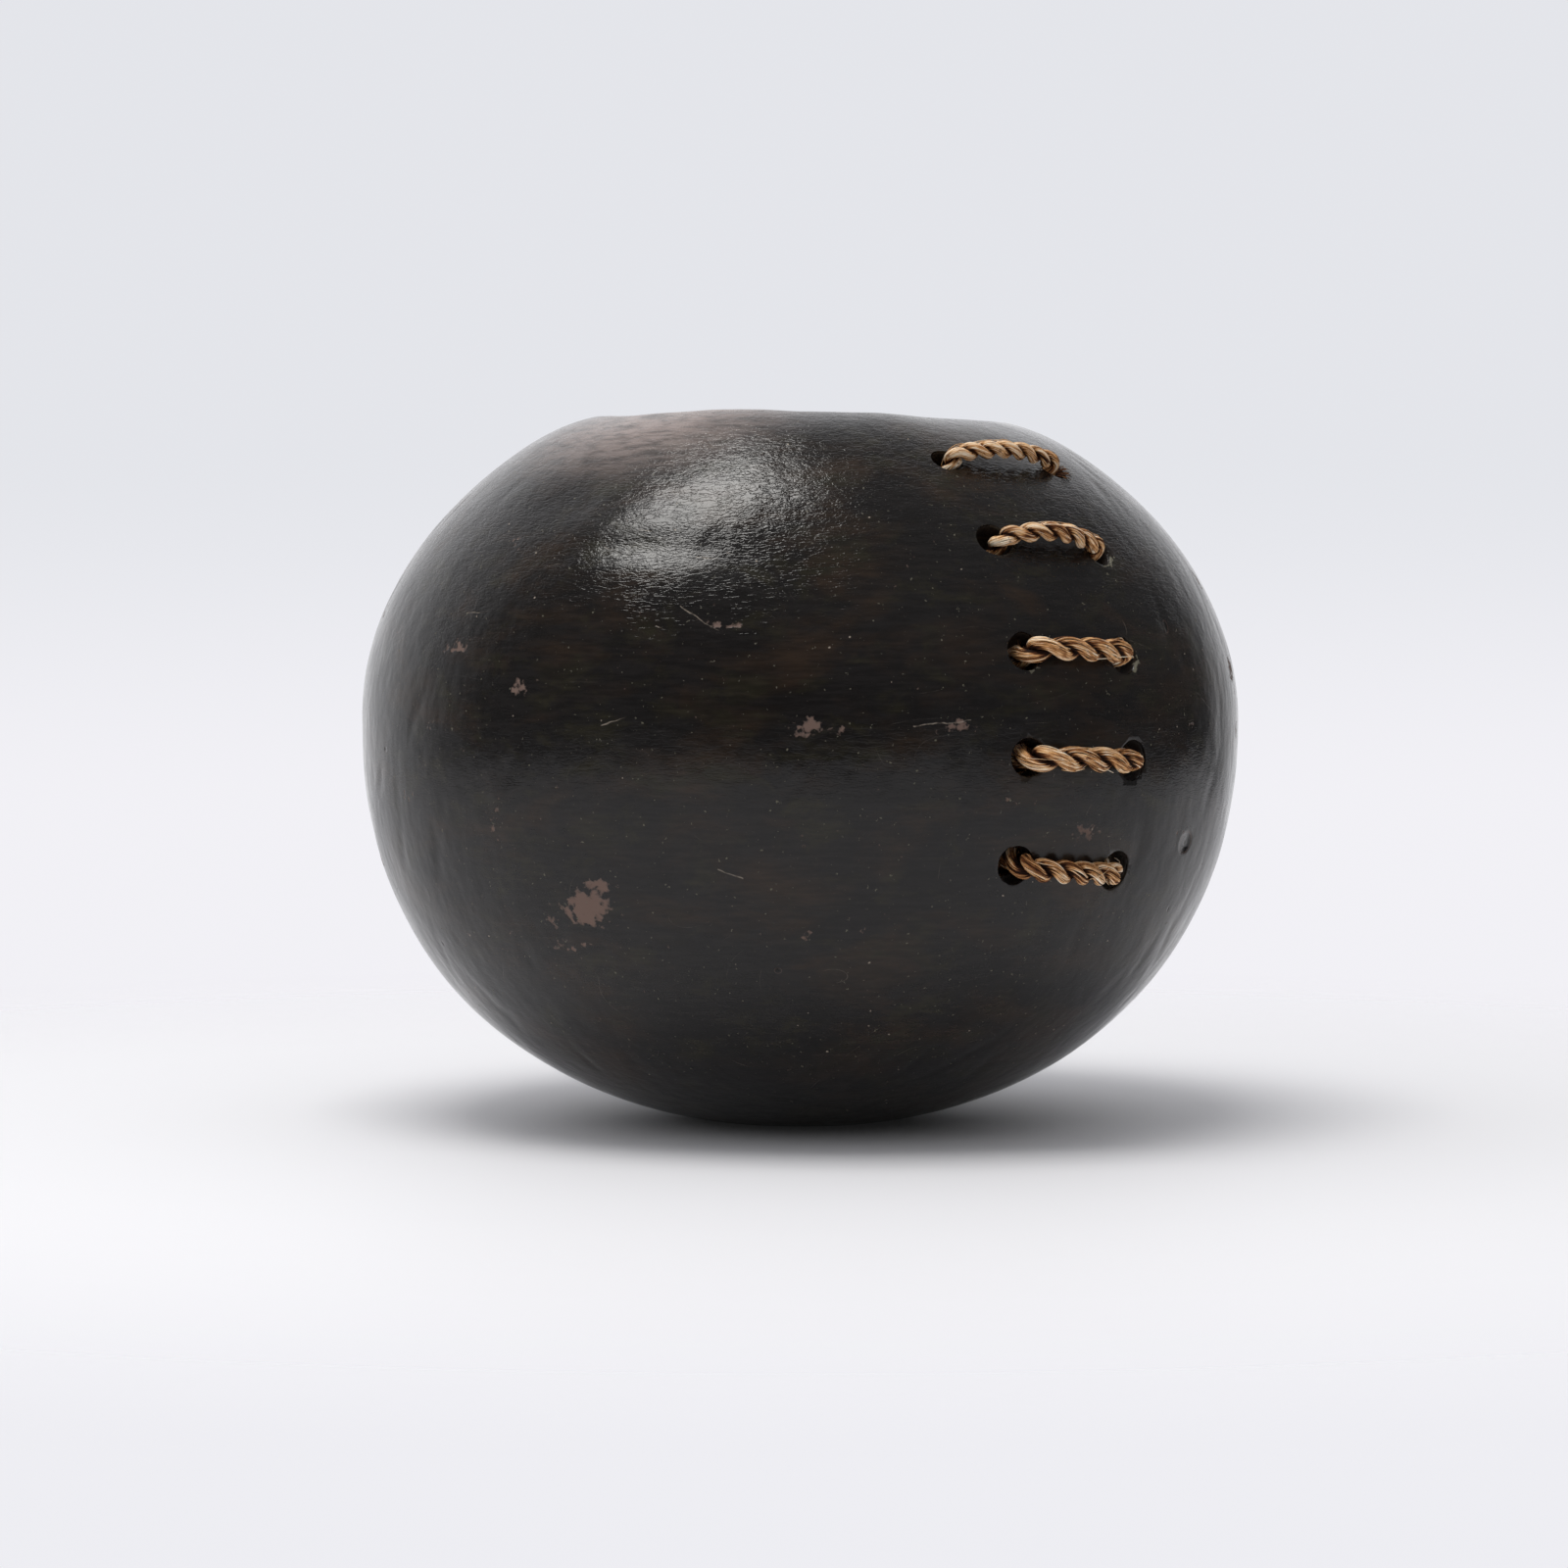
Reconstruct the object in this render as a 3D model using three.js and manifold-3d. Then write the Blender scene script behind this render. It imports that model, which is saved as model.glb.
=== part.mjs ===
// A dried bottle gourd, cut open at the top as a round pot, with five ties of twisted cord
// worked across one side of its wall.
// Millimetres, +Z up. The origin is the centre of the flat that the pot stands on, and the
// front of the pot faces -Y. Azimuths are in degrees from the front, towards +X.
import * as THREE from "three";
import { mergeVertices } from "three/addons/utils/BufferGeometryUtils.js";
import Module from "manifold-3d";

// Gourd. Its outline is two half super-ellipses that meet at the belly.
const BELLY_R = 140; // widest radius
const BELLY_Z = 128.5; // height of the widest ring
const CROWN_H = 111.5; // belly to where the crown would close, were the mouth not cut
const CROWN_POWER = 1.954; // 2 is a plain ellipse
const BASE_H = 130.5; // belly to where the base would end, were it not worn flat
const BASE_POWER = 2.21; // fuller than an ellipse
const WALL = 7; // thickness of the dried shell

// Mouth. The crown sags a little round it, and its rim was cut by hand, so it leans and waves.
const MOUTH_R = 65.5;
const MOUTH_LEAN_IN = 2.5; // how much narrower the mouth is inside than outside
const RIM_Z = 223.3; // mean height of the rim
const SAG_FROM_R = 90; // the sag starts at this radius and grows to the mouth
const RIM_LEAN = 0.9; // how far the right side lies below the mean, and the left above it
const RIM_WAVE = 0.5; // height of the waves
const RIM_WAVES = 3; // waves in one turn
const RIM_BLEND_Z = 190; // the lean and the waves fade out down to this height

const ROUND_STEPS = 60; // facets round the gourd
const OUTSIDE_STEPS = 26; // facets up its outside
const INSIDE_STEPS = 22; // facets up its inside

// Cord ties, from the rim down. Each crosses from its left hole to its right one, and a hole is
// [azimuth, height, radius].
const TIES = [
  { left: [27.7, 208.5, 5.0], right: [52.4, 206.4, 4.6], cordR: 2.8, arch: 0.6 },
  { left: [28.8, 184.0, 5.7], right: [47.3, 180.7, 4.9], cordR: 2.9, arch: 2.4 },
  { left: [29.1, 150.9, 5.8], right: [45.0, 149.5, 5.8], cordR: 3.4, arch: 0.9 },
  { left: [28.9, 119.5, 5.7], right: [45.7, 117.8, 6.1], cordR: 3.5, arch: 0.9 },
  { left: [28.3, 87.6, 6.0], right: [45.1, 84.6, 6.1], cordR: 3.4, arch: 0.9 },
];
const CORD_GAP = 0.6; // from the cord to the edge of the hole that it bends over
const CORD_SIDES = 8;
const CORD_STEPS = 44;
const HOLE_SIDES = 20;
const BEND_STEPS = 2; // straight pieces in each quarter turn over an edge

// Inside the pot, the two ends of each tie meet in a flat knot against the wall.
const KNOT_HALF = { along: 12, across: 9.5, thick: 6 };
const KNOT_LIFT = -(WALL + 7.2); // how far its middle lies off the outer surface
const TAIL_R = 2.9;
const TAIL_REACH = 17; // from the knot's middle to a tail's end, along the tie
const TAIL_DROP = 11; // and down the wall
const TAIL_STEPS = 6;

const toRadians = THREE.MathUtils.degToRad;
const wasm = await Module();
wasm.setup();

function halfOutline(isCrown) {
  return isCrown ? [CROWN_H, CROWN_POWER] : [BASE_H, BASE_POWER];
}

// A point of the plain outline, from its turn about the belly's middle: -90 degrees is the lowest.
function outlineAt(turn, inset) {
  const [height, power] = halfOutline(turn > 0);
  const across = Math.abs(Math.cos(turn)) ** (2 / power);
  const up = Math.sign(turn) * Math.abs(Math.sin(turn)) ** (2 / power);
  return new THREE.Vector2((BELLY_R - inset) * across, BELLY_Z + (height - inset) * up);
}

// The turn at which that outline reaches a height.
function turnAtHeight(z, inset = 0) {
  const [height, power] = halfOutline(z > BELLY_Z);
  const share = Math.abs(z - BELLY_Z) / (height - inset);
  return Math.sign(z - BELLY_Z) * Math.asin(share ** (power / 2));
}

// The turn at which the crown comes in to a radius.
function turnAtRadius(radius, inset = 0) {
  return Math.acos((radius / (BELLY_R - inset)) ** (CROWN_POWER / 2));
}

const SAG = outlineAt(turnAtRadius(MOUTH_R), 0).y - RIM_Z;

function sagged(point) {
  const share = Math.max(0, (SAG_FROM_R - point.x) / (SAG_FROM_R - MOUTH_R));
  return point.y > BELLY_Z ? point.setY(point.y - SAG * share ** 2) : point;
}

function outlineBetween(fromTurn, toTurn, inset, steps) {
  return Array.from({ length: steps + 1 }, (_, i) =>
    sagged(outlineAt(THREE.MathUtils.lerp(fromTurn, toTurn, i / steps), inset)),
  );
}

function rimShift(azimuth) {
  return -RIM_LEAN * Math.sin(azimuth) + RIM_WAVE * Math.cos(RIM_WAVES * azimuth);
}

// The whole wall as one turned profile, then its rim bent to the hand-cut line.
function shellBlank() {
  const outside = outlineBetween(turnAtHeight(0), turnAtRadius(MOUTH_R), 0, OUTSIDE_STEPS);
  const lipTurn = turnAtRadius(MOUTH_R - MOUTH_LEAN_IN, WALL);
  const inside = outlineBetween(lipTurn, -Math.PI / 2, WALL, INSIDE_STEPS);
  inside.at(-1).x = 0; // exactly on the axis
  const blank = new THREE.LatheGeometry([new THREE.Vector2(0, 0), ...outside, ...inside], ROUND_STEPS);
  blank.rotateX(Math.PI / 2);
  const points = blank.getAttribute("position");
  for (let i = 0; i < points.count; i++) {
    const share = THREE.MathUtils.smoothstep(points.getZ(i), RIM_BLEND_Z, RIM_Z);
    const azimuth = Math.atan2(points.getX(i), -points.getY(i));
    points.setZ(i, points.getZ(i) + share * rimShift(azimuth));
  }
  return blank;
}

// The outer surface at an azimuth and height: a point, the way out and the way uphill.
function surfaceAt(azimuth, z) {
  const around = new THREE.Vector3(Math.sin(azimuth), -Math.cos(azimuth), 0);
  const turn = turnAtHeight(z);
  const step = 0.01;
  const slope = outlineAt(turn + step, 0).sub(outlineAt(turn - step, 0)).normalize();
  const uphill = around.clone().multiplyScalar(slope.x).setZ(slope.y);
  const outward = around.clone().multiplyScalar(slope.y).setZ(-slope.x);
  const point = around.clone().multiplyScalar(outlineAt(turn, 0).x).setZ(z);
  return { point, outward, uphill };
}

function atHole([azimuth, z]) {
  return surfaceAt(toRadians(azimuth), z);
}

function tieLength(tie) {
  return atHole(tie.left).point.distanceTo(atHole(tie.right).point);
}

// A point near a tie: so far along from its left hole, lifted off the outer surface, moved uphill.
function besideTie(tie, along, lift, uphillBy = 0) {
  const share = along / tieLength(tie);
  const azimuth = THREE.MathUtils.lerp(toRadians(tie.left[0]), toRadians(tie.right[0]), share);
  const { point, outward, uphill } = surfaceAt(azimuth, THREE.MathUtils.lerp(tie.left[1], tie.right[1], share));
  return point.addScaledVector(outward, lift).addScaledVector(uphill, uphillBy);
}

function toSolid(geometry) {
  const bare = geometry.index ? geometry.toNonIndexed() : geometry.clone();
  bare.deleteAttribute("normal");
  bare.deleteAttribute("uv");
  const merged = mergeVertices(bare, 1e-3);
  const mesh = new wasm.Mesh({
    numProp: 3,
    vertProperties: new Float32Array(merged.getAttribute("position").array),
    triVerts: new Uint32Array(merged.index.array),
  });
  return new wasm.Manifold(mesh);
}

function toGeometry(solid) {
  const { vertProperties, triVerts } = solid.getMesh();
  const geometry = new THREE.BufferGeometry();
  geometry.setAttribute("position", new THREE.BufferAttribute(vertProperties, 3));
  geometry.setIndex(new THREE.BufferAttribute(triVerts, 1));
  geometry.computeVertexNormals();
  return geometry;
}

// A drilled hole runs square to the wall.
function holeCutter(hole) {
  const { point, outward } = atHole(hole);
  const cutter = new THREE.CylinderGeometry(hole[2], hole[2], 6 * WALL, HOLE_SIDES);
  cutter.applyQuaternion(new THREE.Quaternion().setFromUnitVectors(THREE.Object3D.DEFAULT_UP, outward));
  return cutter.translate(point.x, point.y, point.z);
}

function gourdShell() {
  const holes = TIES.flatMap((tie) => [tie.left, tie.right]);
  return holes.reduce((wall, hole) => wall.subtract(toSolid(holeCutter(hole))), toSolid(shellBlank()));
}

function tubeAlong(points, radius, steps) {
  const section = new THREE.Shape().absarc(0, 0, radius, 0, 2 * Math.PI);
  const extrudePath = new THREE.CatmullRomCurve3(points, false, "centripetal");
  return new THREE.ExtrudeGeometry(section, { steps, extrudePath, curveSegments: CORD_SIDES / 2 });
}

// One end of a tie's route, from the knot out: round the hole's inner edge, then its outer edge.
function routeEnd(tie, holeR, place) {
  const reach = tie.cordR + CORD_GAP;
  const points = [place(tieLength(tie) / 2 - KNOT_HALF.along / 2, KNOT_LIFT)];
  for (const [edgeLift, side] of [[-WALL, -1], [0, 1]]) {
    for (let i = 0; i <= BEND_STEPS; i++) {
      const share = side < 0 ? 1 - i / BEND_STEPS : i / BEND_STEPS;
      const turn = (share * Math.PI) / 2;
      points.push(place(holeR - reach * Math.cos(turn), edgeLift + side * reach * Math.sin(turn)));
    }
  }
  return points;
}

function cordTie(tie) {
  const length = tieLength(tie);
  const crest = besideTie(tie, length / 2, tie.cordR + CORD_GAP + tie.arch);
  const route = [
    ...routeEnd(tie, tie.left[2], (along, lift) => besideTie(tie, along, lift)),
    crest,
    ...routeEnd(tie, tie.right[2], (along, lift) => besideTie(tie, length - along, lift)).reverse(),
  ];
  const parts = [knotLump(tie), tail(tie, -1), tail(tie, 1), tubeAlong(route, tie.cordR, CORD_STEPS)];
  return parts.map(toSolid).reduce((whole, piece) => whole.add(piece));
}

function knotLump(tie) {
  const middle = tieLength(tie) / 2;
  const centre = besideTie(tie, middle, KNOT_LIFT);
  const along = besideTie(tie, middle + 1, KNOT_LIFT).sub(centre).normalize();
  const inward = centre.clone().sub(besideTie(tie, middle, 0)).normalize();
  const across = inward.clone().cross(along);
  const lump = new THREE.SphereGeometry(1, 14, 10);
  lump.scale(KNOT_HALF.along, KNOT_HALF.across, KNOT_HALF.thick);
  return lump.applyMatrix4(new THREE.Matrix4().makeBasis(along, across, inward).setPosition(centre));
}

// A tail leaves the knot on its left (-1) or right (1) and hangs down the wall.
function tail(tie, side) {
  const bend = [0.2, 0.65, 1].map((share) =>
    besideTie(tie, tieLength(tie) / 2 + side * TAIL_REACH * share, KNOT_LIFT, -TAIL_DROP * share),
  );
  return tubeAlong(bend, TAIL_R, TAIL_STEPS);
}

function named(name, solid, material) {
  const mesh = new THREE.Mesh(toGeometry(solid), material);
  mesh.name = name;
  return mesh;
}

const shellFinish = new THREE.MeshStandardMaterial({ color: 0x2a2422, roughness: 0.38, metalness: 0 });
const cordFinish = new THREE.MeshStandardMaterial({ color: 0xb08a5e, roughness: 0.8, metalness: 0 });

const gourd = new THREE.Group();
gourd.add(named("gourd_shell", gourdShell(), shellFinish));
TIES.forEach((tie, i) => gourd.add(named(`cord_tie_${i + 1}`, cordTie(tie), cordFinish)));

export default gourd;
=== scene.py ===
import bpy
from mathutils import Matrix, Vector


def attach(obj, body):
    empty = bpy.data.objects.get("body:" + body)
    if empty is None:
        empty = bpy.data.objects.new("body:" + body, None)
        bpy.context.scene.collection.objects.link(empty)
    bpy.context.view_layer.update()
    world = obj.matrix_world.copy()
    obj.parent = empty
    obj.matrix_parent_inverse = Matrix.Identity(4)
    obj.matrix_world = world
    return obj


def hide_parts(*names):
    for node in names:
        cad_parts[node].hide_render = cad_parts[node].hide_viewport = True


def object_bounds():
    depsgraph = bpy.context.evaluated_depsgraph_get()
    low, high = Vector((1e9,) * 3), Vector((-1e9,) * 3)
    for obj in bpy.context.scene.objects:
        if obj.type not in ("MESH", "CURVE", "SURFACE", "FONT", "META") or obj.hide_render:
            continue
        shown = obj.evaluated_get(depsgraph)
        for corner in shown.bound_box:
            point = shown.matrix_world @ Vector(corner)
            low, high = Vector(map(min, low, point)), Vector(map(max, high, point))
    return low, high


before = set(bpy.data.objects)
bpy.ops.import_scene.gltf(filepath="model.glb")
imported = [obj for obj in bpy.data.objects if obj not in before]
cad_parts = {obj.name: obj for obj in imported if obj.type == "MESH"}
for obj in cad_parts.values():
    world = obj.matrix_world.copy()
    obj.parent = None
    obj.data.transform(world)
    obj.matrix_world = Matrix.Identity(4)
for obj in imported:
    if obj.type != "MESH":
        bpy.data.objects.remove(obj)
cadBox = [list(corner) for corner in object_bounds()]

import itertools
import math

import bpy
import numpy as np
from mathutils import Matrix, Vector

mm = 0.001


def fillInputs(tree, node, inputs):
    for name, value in inputs.items():
        socket = node.inputs[name]
        if isinstance(value, bpy.types.NodeSocket):
            tree.links.new(value, socket)
        elif socket.type == "RGBA":
            socket.default_value = (*value[:3], 1.0)
        else:
            socket.default_value = value


def addNode(tree, kind, inputs=None, **settings):
    made = tree.nodes.new("ShaderNode" + kind)
    for name, value in settings.items():
        setattr(made, name, value)
    fillInputs(tree, made, inputs or {})
    return made


def mathOut(tree, operation, *values, clamp=False):
    return addNode(tree, "Math", dict(enumerate(values)), operation=operation, use_clamp=clamp).outputs[0]


def vectorOut(tree, operation, *values):
    made = addNode(tree, "VectorMath", dict(enumerate(values)), operation=operation)
    isNumber = operation in ("LENGTH", "DISTANCE", "DOT_PRODUCT")
    return made.outputs["Value" if isNumber else "Vector"]


def scaleOut(tree, vector, scale):
    inputs = {"Vector": vector, "Scale": scale}
    return addNode(tree, "VectorMath", inputs, operation="SCALE").outputs["Vector"]


def noiseOut(tree, place, scale, detail, output="Fac", **more):
    inputs = {"Vector": place, "Scale": scale, "Detail": detail, **more}
    return addNode(tree, "TexNoise", inputs).outputs[output]


def rangeOut(tree, value, low, high, toLow=0.0, toHigh=1.0, smooth=True):
    inputs = {"Value": value, "From Min": low, "From Max": high, "To Min": toLow, "To Max": toHigh}
    kind = "SMOOTHSTEP" if smooth else "LINEAR"
    return addNode(tree, "MapRange", inputs, interpolation_type=kind).outputs["Result"]


def mixColour(tree, factor, first, second):
    return addNode(tree, "Mix", {0: factor, 6: first, 7: second}, data_type="RGBA").outputs[2]


def objectPlace(tree):
    return addNode(tree, "TexCoord").outputs["Object"]


def attributeOut(tree, name, output="Fac"):
    return addNode(tree, "Attribute", attribute_name=name).outputs[output]


# The empty node tree of a material or world.
def freshTree(owner):
    owner.use_nodes = True
    owner.node_tree.nodes.clear()
    return owner.node_tree


def newObject(name, data):
    made = bpy.data.objects.new(name, data)
    bpy.context.scene.collection.objects.link(made)
    return made


studio = {
    "cameraAt": (0.0, -1.5, 0.165),
    "cameraAim": (-0.005, 0.0, 0.107),
    "lens": 107.3,
    "lightsAim": (0.0, 0.0, 0.11),
}


def makeCamera():
    data = bpy.data.cameras.new("viewCamera")
    data.lens = studio["lens"]
    data.sensor_width = 36.0
    data.clip_start, data.clip_end = 0.01, 50.0
    camera = newObject("viewCamera", data)
    camera.location = studio["cameraAt"]
    aim = Vector(studio["cameraAim"]) - Vector(studio["cameraAt"])
    camera.rotation_euler = aim.to_track_quat("-Z", "Y").to_euler()
    bpy.context.scene.camera = camera


softbox = {
    "name": "softbox",
    "at": (-0.53, -0.07, 1.93),  # over the gourd, a little to its left
    "turn": 28.0,  # of the long side from +X
    "size": (1.02, 0.70),
    "watts": 26.5,
    "tint": (1.0, 0.985, 0.955),
}

fill = {
    "name": "fill",
    "at": (-0.28, -0.38, 1.88),  # overhead, towards the camera
    "turn": 0.0,
    "size": (0.95, 0.95),
    "watts": 17.0,
    "tint": (1.0, 0.985, 0.96),
}


def makeLight(look):
    data = bpy.data.lights.new(look["name"], "AREA")
    data.shape = "RECTANGLE"
    data.size, data.size_y = look["size"]
    data.energy = look["watts"]
    data.color = look["tint"]
    light = newObject(look["name"], data)
    light.location = look["at"]
    back = (light.location - Vector(studio["lightsAim"])).normalized()
    long = Vector((math.cos(math.radians(look["turn"])), math.sin(math.radians(look["turn"])), 0.0))
    long = (long - back * long.dot(back)).normalized()
    light.rotation_euler = Matrix((long, back.cross(long), back)).transposed().to_euler()
    return light


# A pale floor that melts into the backdrop, nearer for the camera than in the gourd's reflections.
floorLook = {
    "tone": (0.88, 0.88, 0.90),
    "rough": 0.62,
    # a faint painted glow that lifts the floor's shadows and lights the gourd from below
    "glow": 0.006,
    "seen": (0.28, 0.62),
    "mirrored": (0.85, 1.5),
    "rings": (0.0, 0.3, 0.85, 1.5, 3.0),
    "sides": 96,
}


def makeFloor():
    rings, count = floorLook["rings"], floorLook["sides"]
    verts = [(0.0, 0.0, 0.0)]
    for radius in rings[1:]:
        for i in range(count):
            turn = 2 * math.pi * i / count
            verts.append((radius * math.cos(turn), radius * math.sin(turn), 0.0))
    faces = [(0, 1 + i, 1 + (i + 1) % count) for i in range(count)]
    for ring in range(len(rings) - 2):
        inner, outer = 1 + ring * count, 1 + (ring + 1) * count
        for i in range(count):
            j = (i + 1) % count
            faces.append((inner + i, outer + i, outer + j, inner + j))
    mesh = bpy.data.meshes.new("floor")
    mesh.from_pydata(verts, [], faces)
    floor = newObject("floor", mesh)
    material = bpy.data.materials.new("paleFloor")
    tree = freshTree(material)
    away = vectorOut(tree, "LENGTH", objectPlace(tree))
    seen = rangeOut(tree, away, *floorLook["seen"])
    mirrored = rangeOut(tree, away, *floorLook["mirrored"])
    ray = addNode(tree, "LightPath").outputs["Is Camera Ray"]
    gone = mathOut(tree, "MULTIPLY_ADD", ray, mathOut(tree, "SUBTRACT", seen, mirrored), mirrored)
    # the emission is painted light, the floor is no lamp
    matte = addNode(tree, "BsdfPrincipled", {
        "Base Color": floorLook["tone"], "Roughness": floorLook["rough"],
        "Emission Color": (1.0, 1.0, 1.0), "Emission Strength": floorLook["glow"],
    })
    clear = addNode(tree, "BsdfTransparent")
    both = addNode(tree, "MixShader", {0: gone, 1: matte.outputs[0], 2: clear.outputs[0]})
    addNode(tree, "OutputMaterial", {"Surface": both.outputs[0]})
    floor.data.materials.append(material)


# The camera sees one pale backdrop all round. The gourd mirrors a room that is white behind it and dark
# in front, and cord and floor have an even light from above.
room = {
    "backdropHigh": (0.775, 0.785, 0.825),
    "backdropLow": (0.885, 0.877, 0.917),
    "backdropFront": (0.850, 0.850, 0.890),
    "lowBetween": (0.035, -0.045),
    "frontBetween": (-0.08, -0.22),
    "dark": 0.04,
    "bright": 1.02,
    "brightTowards": (-0.30, 0.95, 0.08),
    "edge": (0.26, 0.95),  # how softly one gives way to the other
    "glows": [  # fainter light from the right and the left: towards where, from what edge, how bright
        ((0.62, -0.20, 0.76), 0.2, 0.18),
        ((-0.95, -0.25, 0.18), 0.3, 0.08),
    ],
    "ambient": (0.0, 1.06),
    "ambientTowards": (-0.40, -0.02, 0.90),
    "ambientRise": (0.0, 0.42),  # none comes from the horizon
    "tint": (1.0, 1.0, 1.03),
}


def makeRoom():
    world = bpy.data.worlds.new("studioRoom")
    bpy.context.scene.world = world
    tree = freshTree(world)
    way = addNode(tree, "TexCoord").outputs["Generated"]
    rise = addNode(tree, "SeparateXYZ", {0: way}).outputs["Z"]

    def towards(direction):
        return vectorOut(tree, "DOT_PRODUCT", way, Vector(direction).normalized())

    low = rangeOut(tree, rise, *room["lowBetween"])
    backdrop = mixColour(tree, low, room["backdropHigh"], room["backdropLow"])
    front = rangeOut(tree, rise, *room["frontBetween"])
    backdrop = mixColour(tree, front, backdrop, room["backdropFront"])
    bright = rangeOut(tree, towards(room["brightTowards"]), *room["edge"], room["dark"], room["bright"])
    for direction, edge, glow in room["glows"]:
        bright = mathOut(tree, "ADD", bright, rangeOut(tree, towards(direction), edge, 1.0, 0.0, glow))
    even = rangeOut(tree, towards(room["ambientTowards"]), -0.1, 1.0, *room["ambient"], smooth=False)
    even = mathOut(tree, "MULTIPLY", even, rangeOut(tree, rise, *room["ambientRise"]))
    path = addNode(tree, "LightPath")
    ray = path.outputs["Is Camera Ray"]
    gap = mathOut(tree, "SUBTRACT", even, bright)
    bright = mathOut(tree, "MULTIPLY_ADD", gap, path.outputs["Is Diffuse Ray"], bright)
    colour = mixColour(tree, ray, room["tint"], backdrop)
    unseen = mathOut(tree, "SUBTRACT", 1.0, ray)
    strength = mathOut(tree, "MULTIPLY_ADD", bright, unseen, ray)
    light = addNode(tree, "Background", {"Color": colour, "Strength": strength})
    addNode(tree, "OutputWorld", {"Surface": light.outputs[0]})


# A node group whose inputs are given with their first values: a number, a vector or a colour.
def newGroup(name, inputs, outputs):
    tree = bpy.data.node_groups.new(name, "ShaderNodeTree")
    for label, value in inputs.items():
        kind = "Float" if isinstance(value, float) else {3: "Vector", 4: "Color"}[len(value)]
        socket = tree.interface.new_socket(label, in_out="INPUT", socket_type="NodeSocket" + kind)
        socket.default_value = value
    for label, kind in outputs.items():
        tree.interface.new_socket(label, in_out="OUTPUT", socket_type="NodeSocket" + kind)
    return tree, tree.nodes.new("NodeGroupInput").outputs, tree.nodes.new("NodeGroupOutput")


def placeGroup(tree, group, inputs):
    made = tree.nodes.new("ShaderNodeGroup")
    made.node_tree = group
    fillInputs(tree, made, inputs)
    return made.outputs


nowhere = (0.0, 0.0, 0.0)
unstretched = (1.0, 1.0, 1.0)


# Noise drawn out along chosen directions: streaks, wrinkles and fibre.
def streakGroup():
    tree, given, out = newGroup(
        "drawnOutGrain",
        {"Place": nowhere, "Stretch": unstretched, "Scale": 100.0, "Detail": 3.0, "Ridges": 0.0},
        {"Height": "Float"},
    )
    drawn = vectorOut(tree, "MULTIPLY", given["Place"], given["Stretch"])
    grain = noiseOut(tree, drawn, given["Scale"], given["Detail"], Roughness=0.55)
    fold = mathOut(tree, "ABSOLUTE", mathOut(tree, "SUBTRACT", grain, 0.5))
    ridge = rangeOut(tree, fold, 0.0, 0.09)
    share = given["Ridges"]
    plain = mathOut(tree, "MULTIPLY", grain, mathOut(tree, "SUBTRACT", 1.0, share))
    both = mathOut(tree, "ADD", plain, mathOut(tree, "MULTIPLY", ridge, share))
    tree.links.new(both, out.inputs["Height"])
    return tree


# Small separate spots, gathered in loose drifts.
def fleckGroup():
    tree, given, out = newGroup(
        "scatteredFlecks",
        {"Place": nowhere, "Scale": 200.0, "Size": 0.2, "Share": 0.2, "Drift Scale": 20.0},
        {"Mask": "Float"},
    )
    bent = noiseOut(tree, given["Place"], given["Scale"], 1.0, output="Color")
    moved = vectorOut(tree, "ADD", given["Place"], scaleOut(tree, bent, 0.0012))
    cells = addNode(tree, "TexVoronoi", {"Vector": moved, "Scale": given["Scale"]})
    drift = noiseOut(tree, given["Place"], given["Drift Scale"], 2.0)
    pick = addNode(tree, "SeparateColor", {0: cells.outputs["Color"]}).outputs[0]
    chance = mathOut(tree, "MULTIPLY", given["Share"], rangeOut(tree, drift, 0.42, 0.68))
    chosen = mathOut(tree, "LESS_THAN", pick, chance)
    swell = rangeOut(tree, pick, 0.0, 0.2, 1.4, 0.5, smooth=False)
    sized = mathOut(tree, "MULTIPLY", given["Size"], swell)
    reach = mathOut(tree, "DIVIDE", cells.outputs["Distance"], sized)
    spot = rangeOut(tree, reach, 1.0, 0.55)
    tree.links.new(mathOut(tree, "MULTIPLY", spot, chosen), out.inputs["Mask"])
    return tree


# Patches of two tones that run into each other.
def mottleGroup():
    tone = (0.5, 0.5, 0.5, 1.0)
    tree, given, out = newGroup(
        "mottledTone",
        {
            "Place": nowhere, "Stretch": unstretched, "Scale": 10.0,
            "First": tone, "Second": tone, "Low": 0.4, "High": 0.62,
        },
        {"Color": "Color", "Mask": "Float"},
    )
    drawn = vectorOut(tree, "MULTIPLY", given["Place"], given["Stretch"])
    patches = noiseOut(tree, drawn, given["Scale"], 5.0, Roughness=0.62, Distortion=0.4)
    mask = rangeOut(tree, patches, given["Low"], given["High"])
    tree.links.new(mixColour(tree, mask, given["First"], given["Second"]), out.inputs["Color"])
    tree.links.new(mask, out.inputs["Mask"])
    return tree


# Long thin lines that wander over the surface and come and go.
def hairlineGroup():
    tree, given, out = newGroup(
        "hairlines",
        {"Place": nowhere, "Stretch": unstretched, "Scale": 30.0, "Width": 0.004, "Share": 0.3},
        {"Mask": "Float"},
    )
    drawn = vectorOut(tree, "MULTIPLY", given["Place"], given["Stretch"])
    field = noiseOut(tree, drawn, given["Scale"], 0.6)
    cycle = mathOut(tree, "FRACT", mathOut(tree, "MULTIPLY", field, 9.0))
    off = mathOut(tree, "ABSOLUTE", mathOut(tree, "SUBTRACT", cycle, 0.5))
    line = rangeOut(tree, mathOut(tree, "DIVIDE", off, given["Width"]), 1.0, 0.3)
    where = noiseOut(tree, given["Place"], 55.0, 1.0)
    edge = mathOut(tree, "SUBTRACT", 0.72, mathOut(tree, "MULTIPLY", given["Share"], 0.3))
    there = rangeOut(tree, where, edge, mathOut(tree, "ADD", edge, 0.05))
    tree.links.new(mathOut(tree, "MULTIPLY", line, there), out.inputs["Mask"])
    return tree


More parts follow.
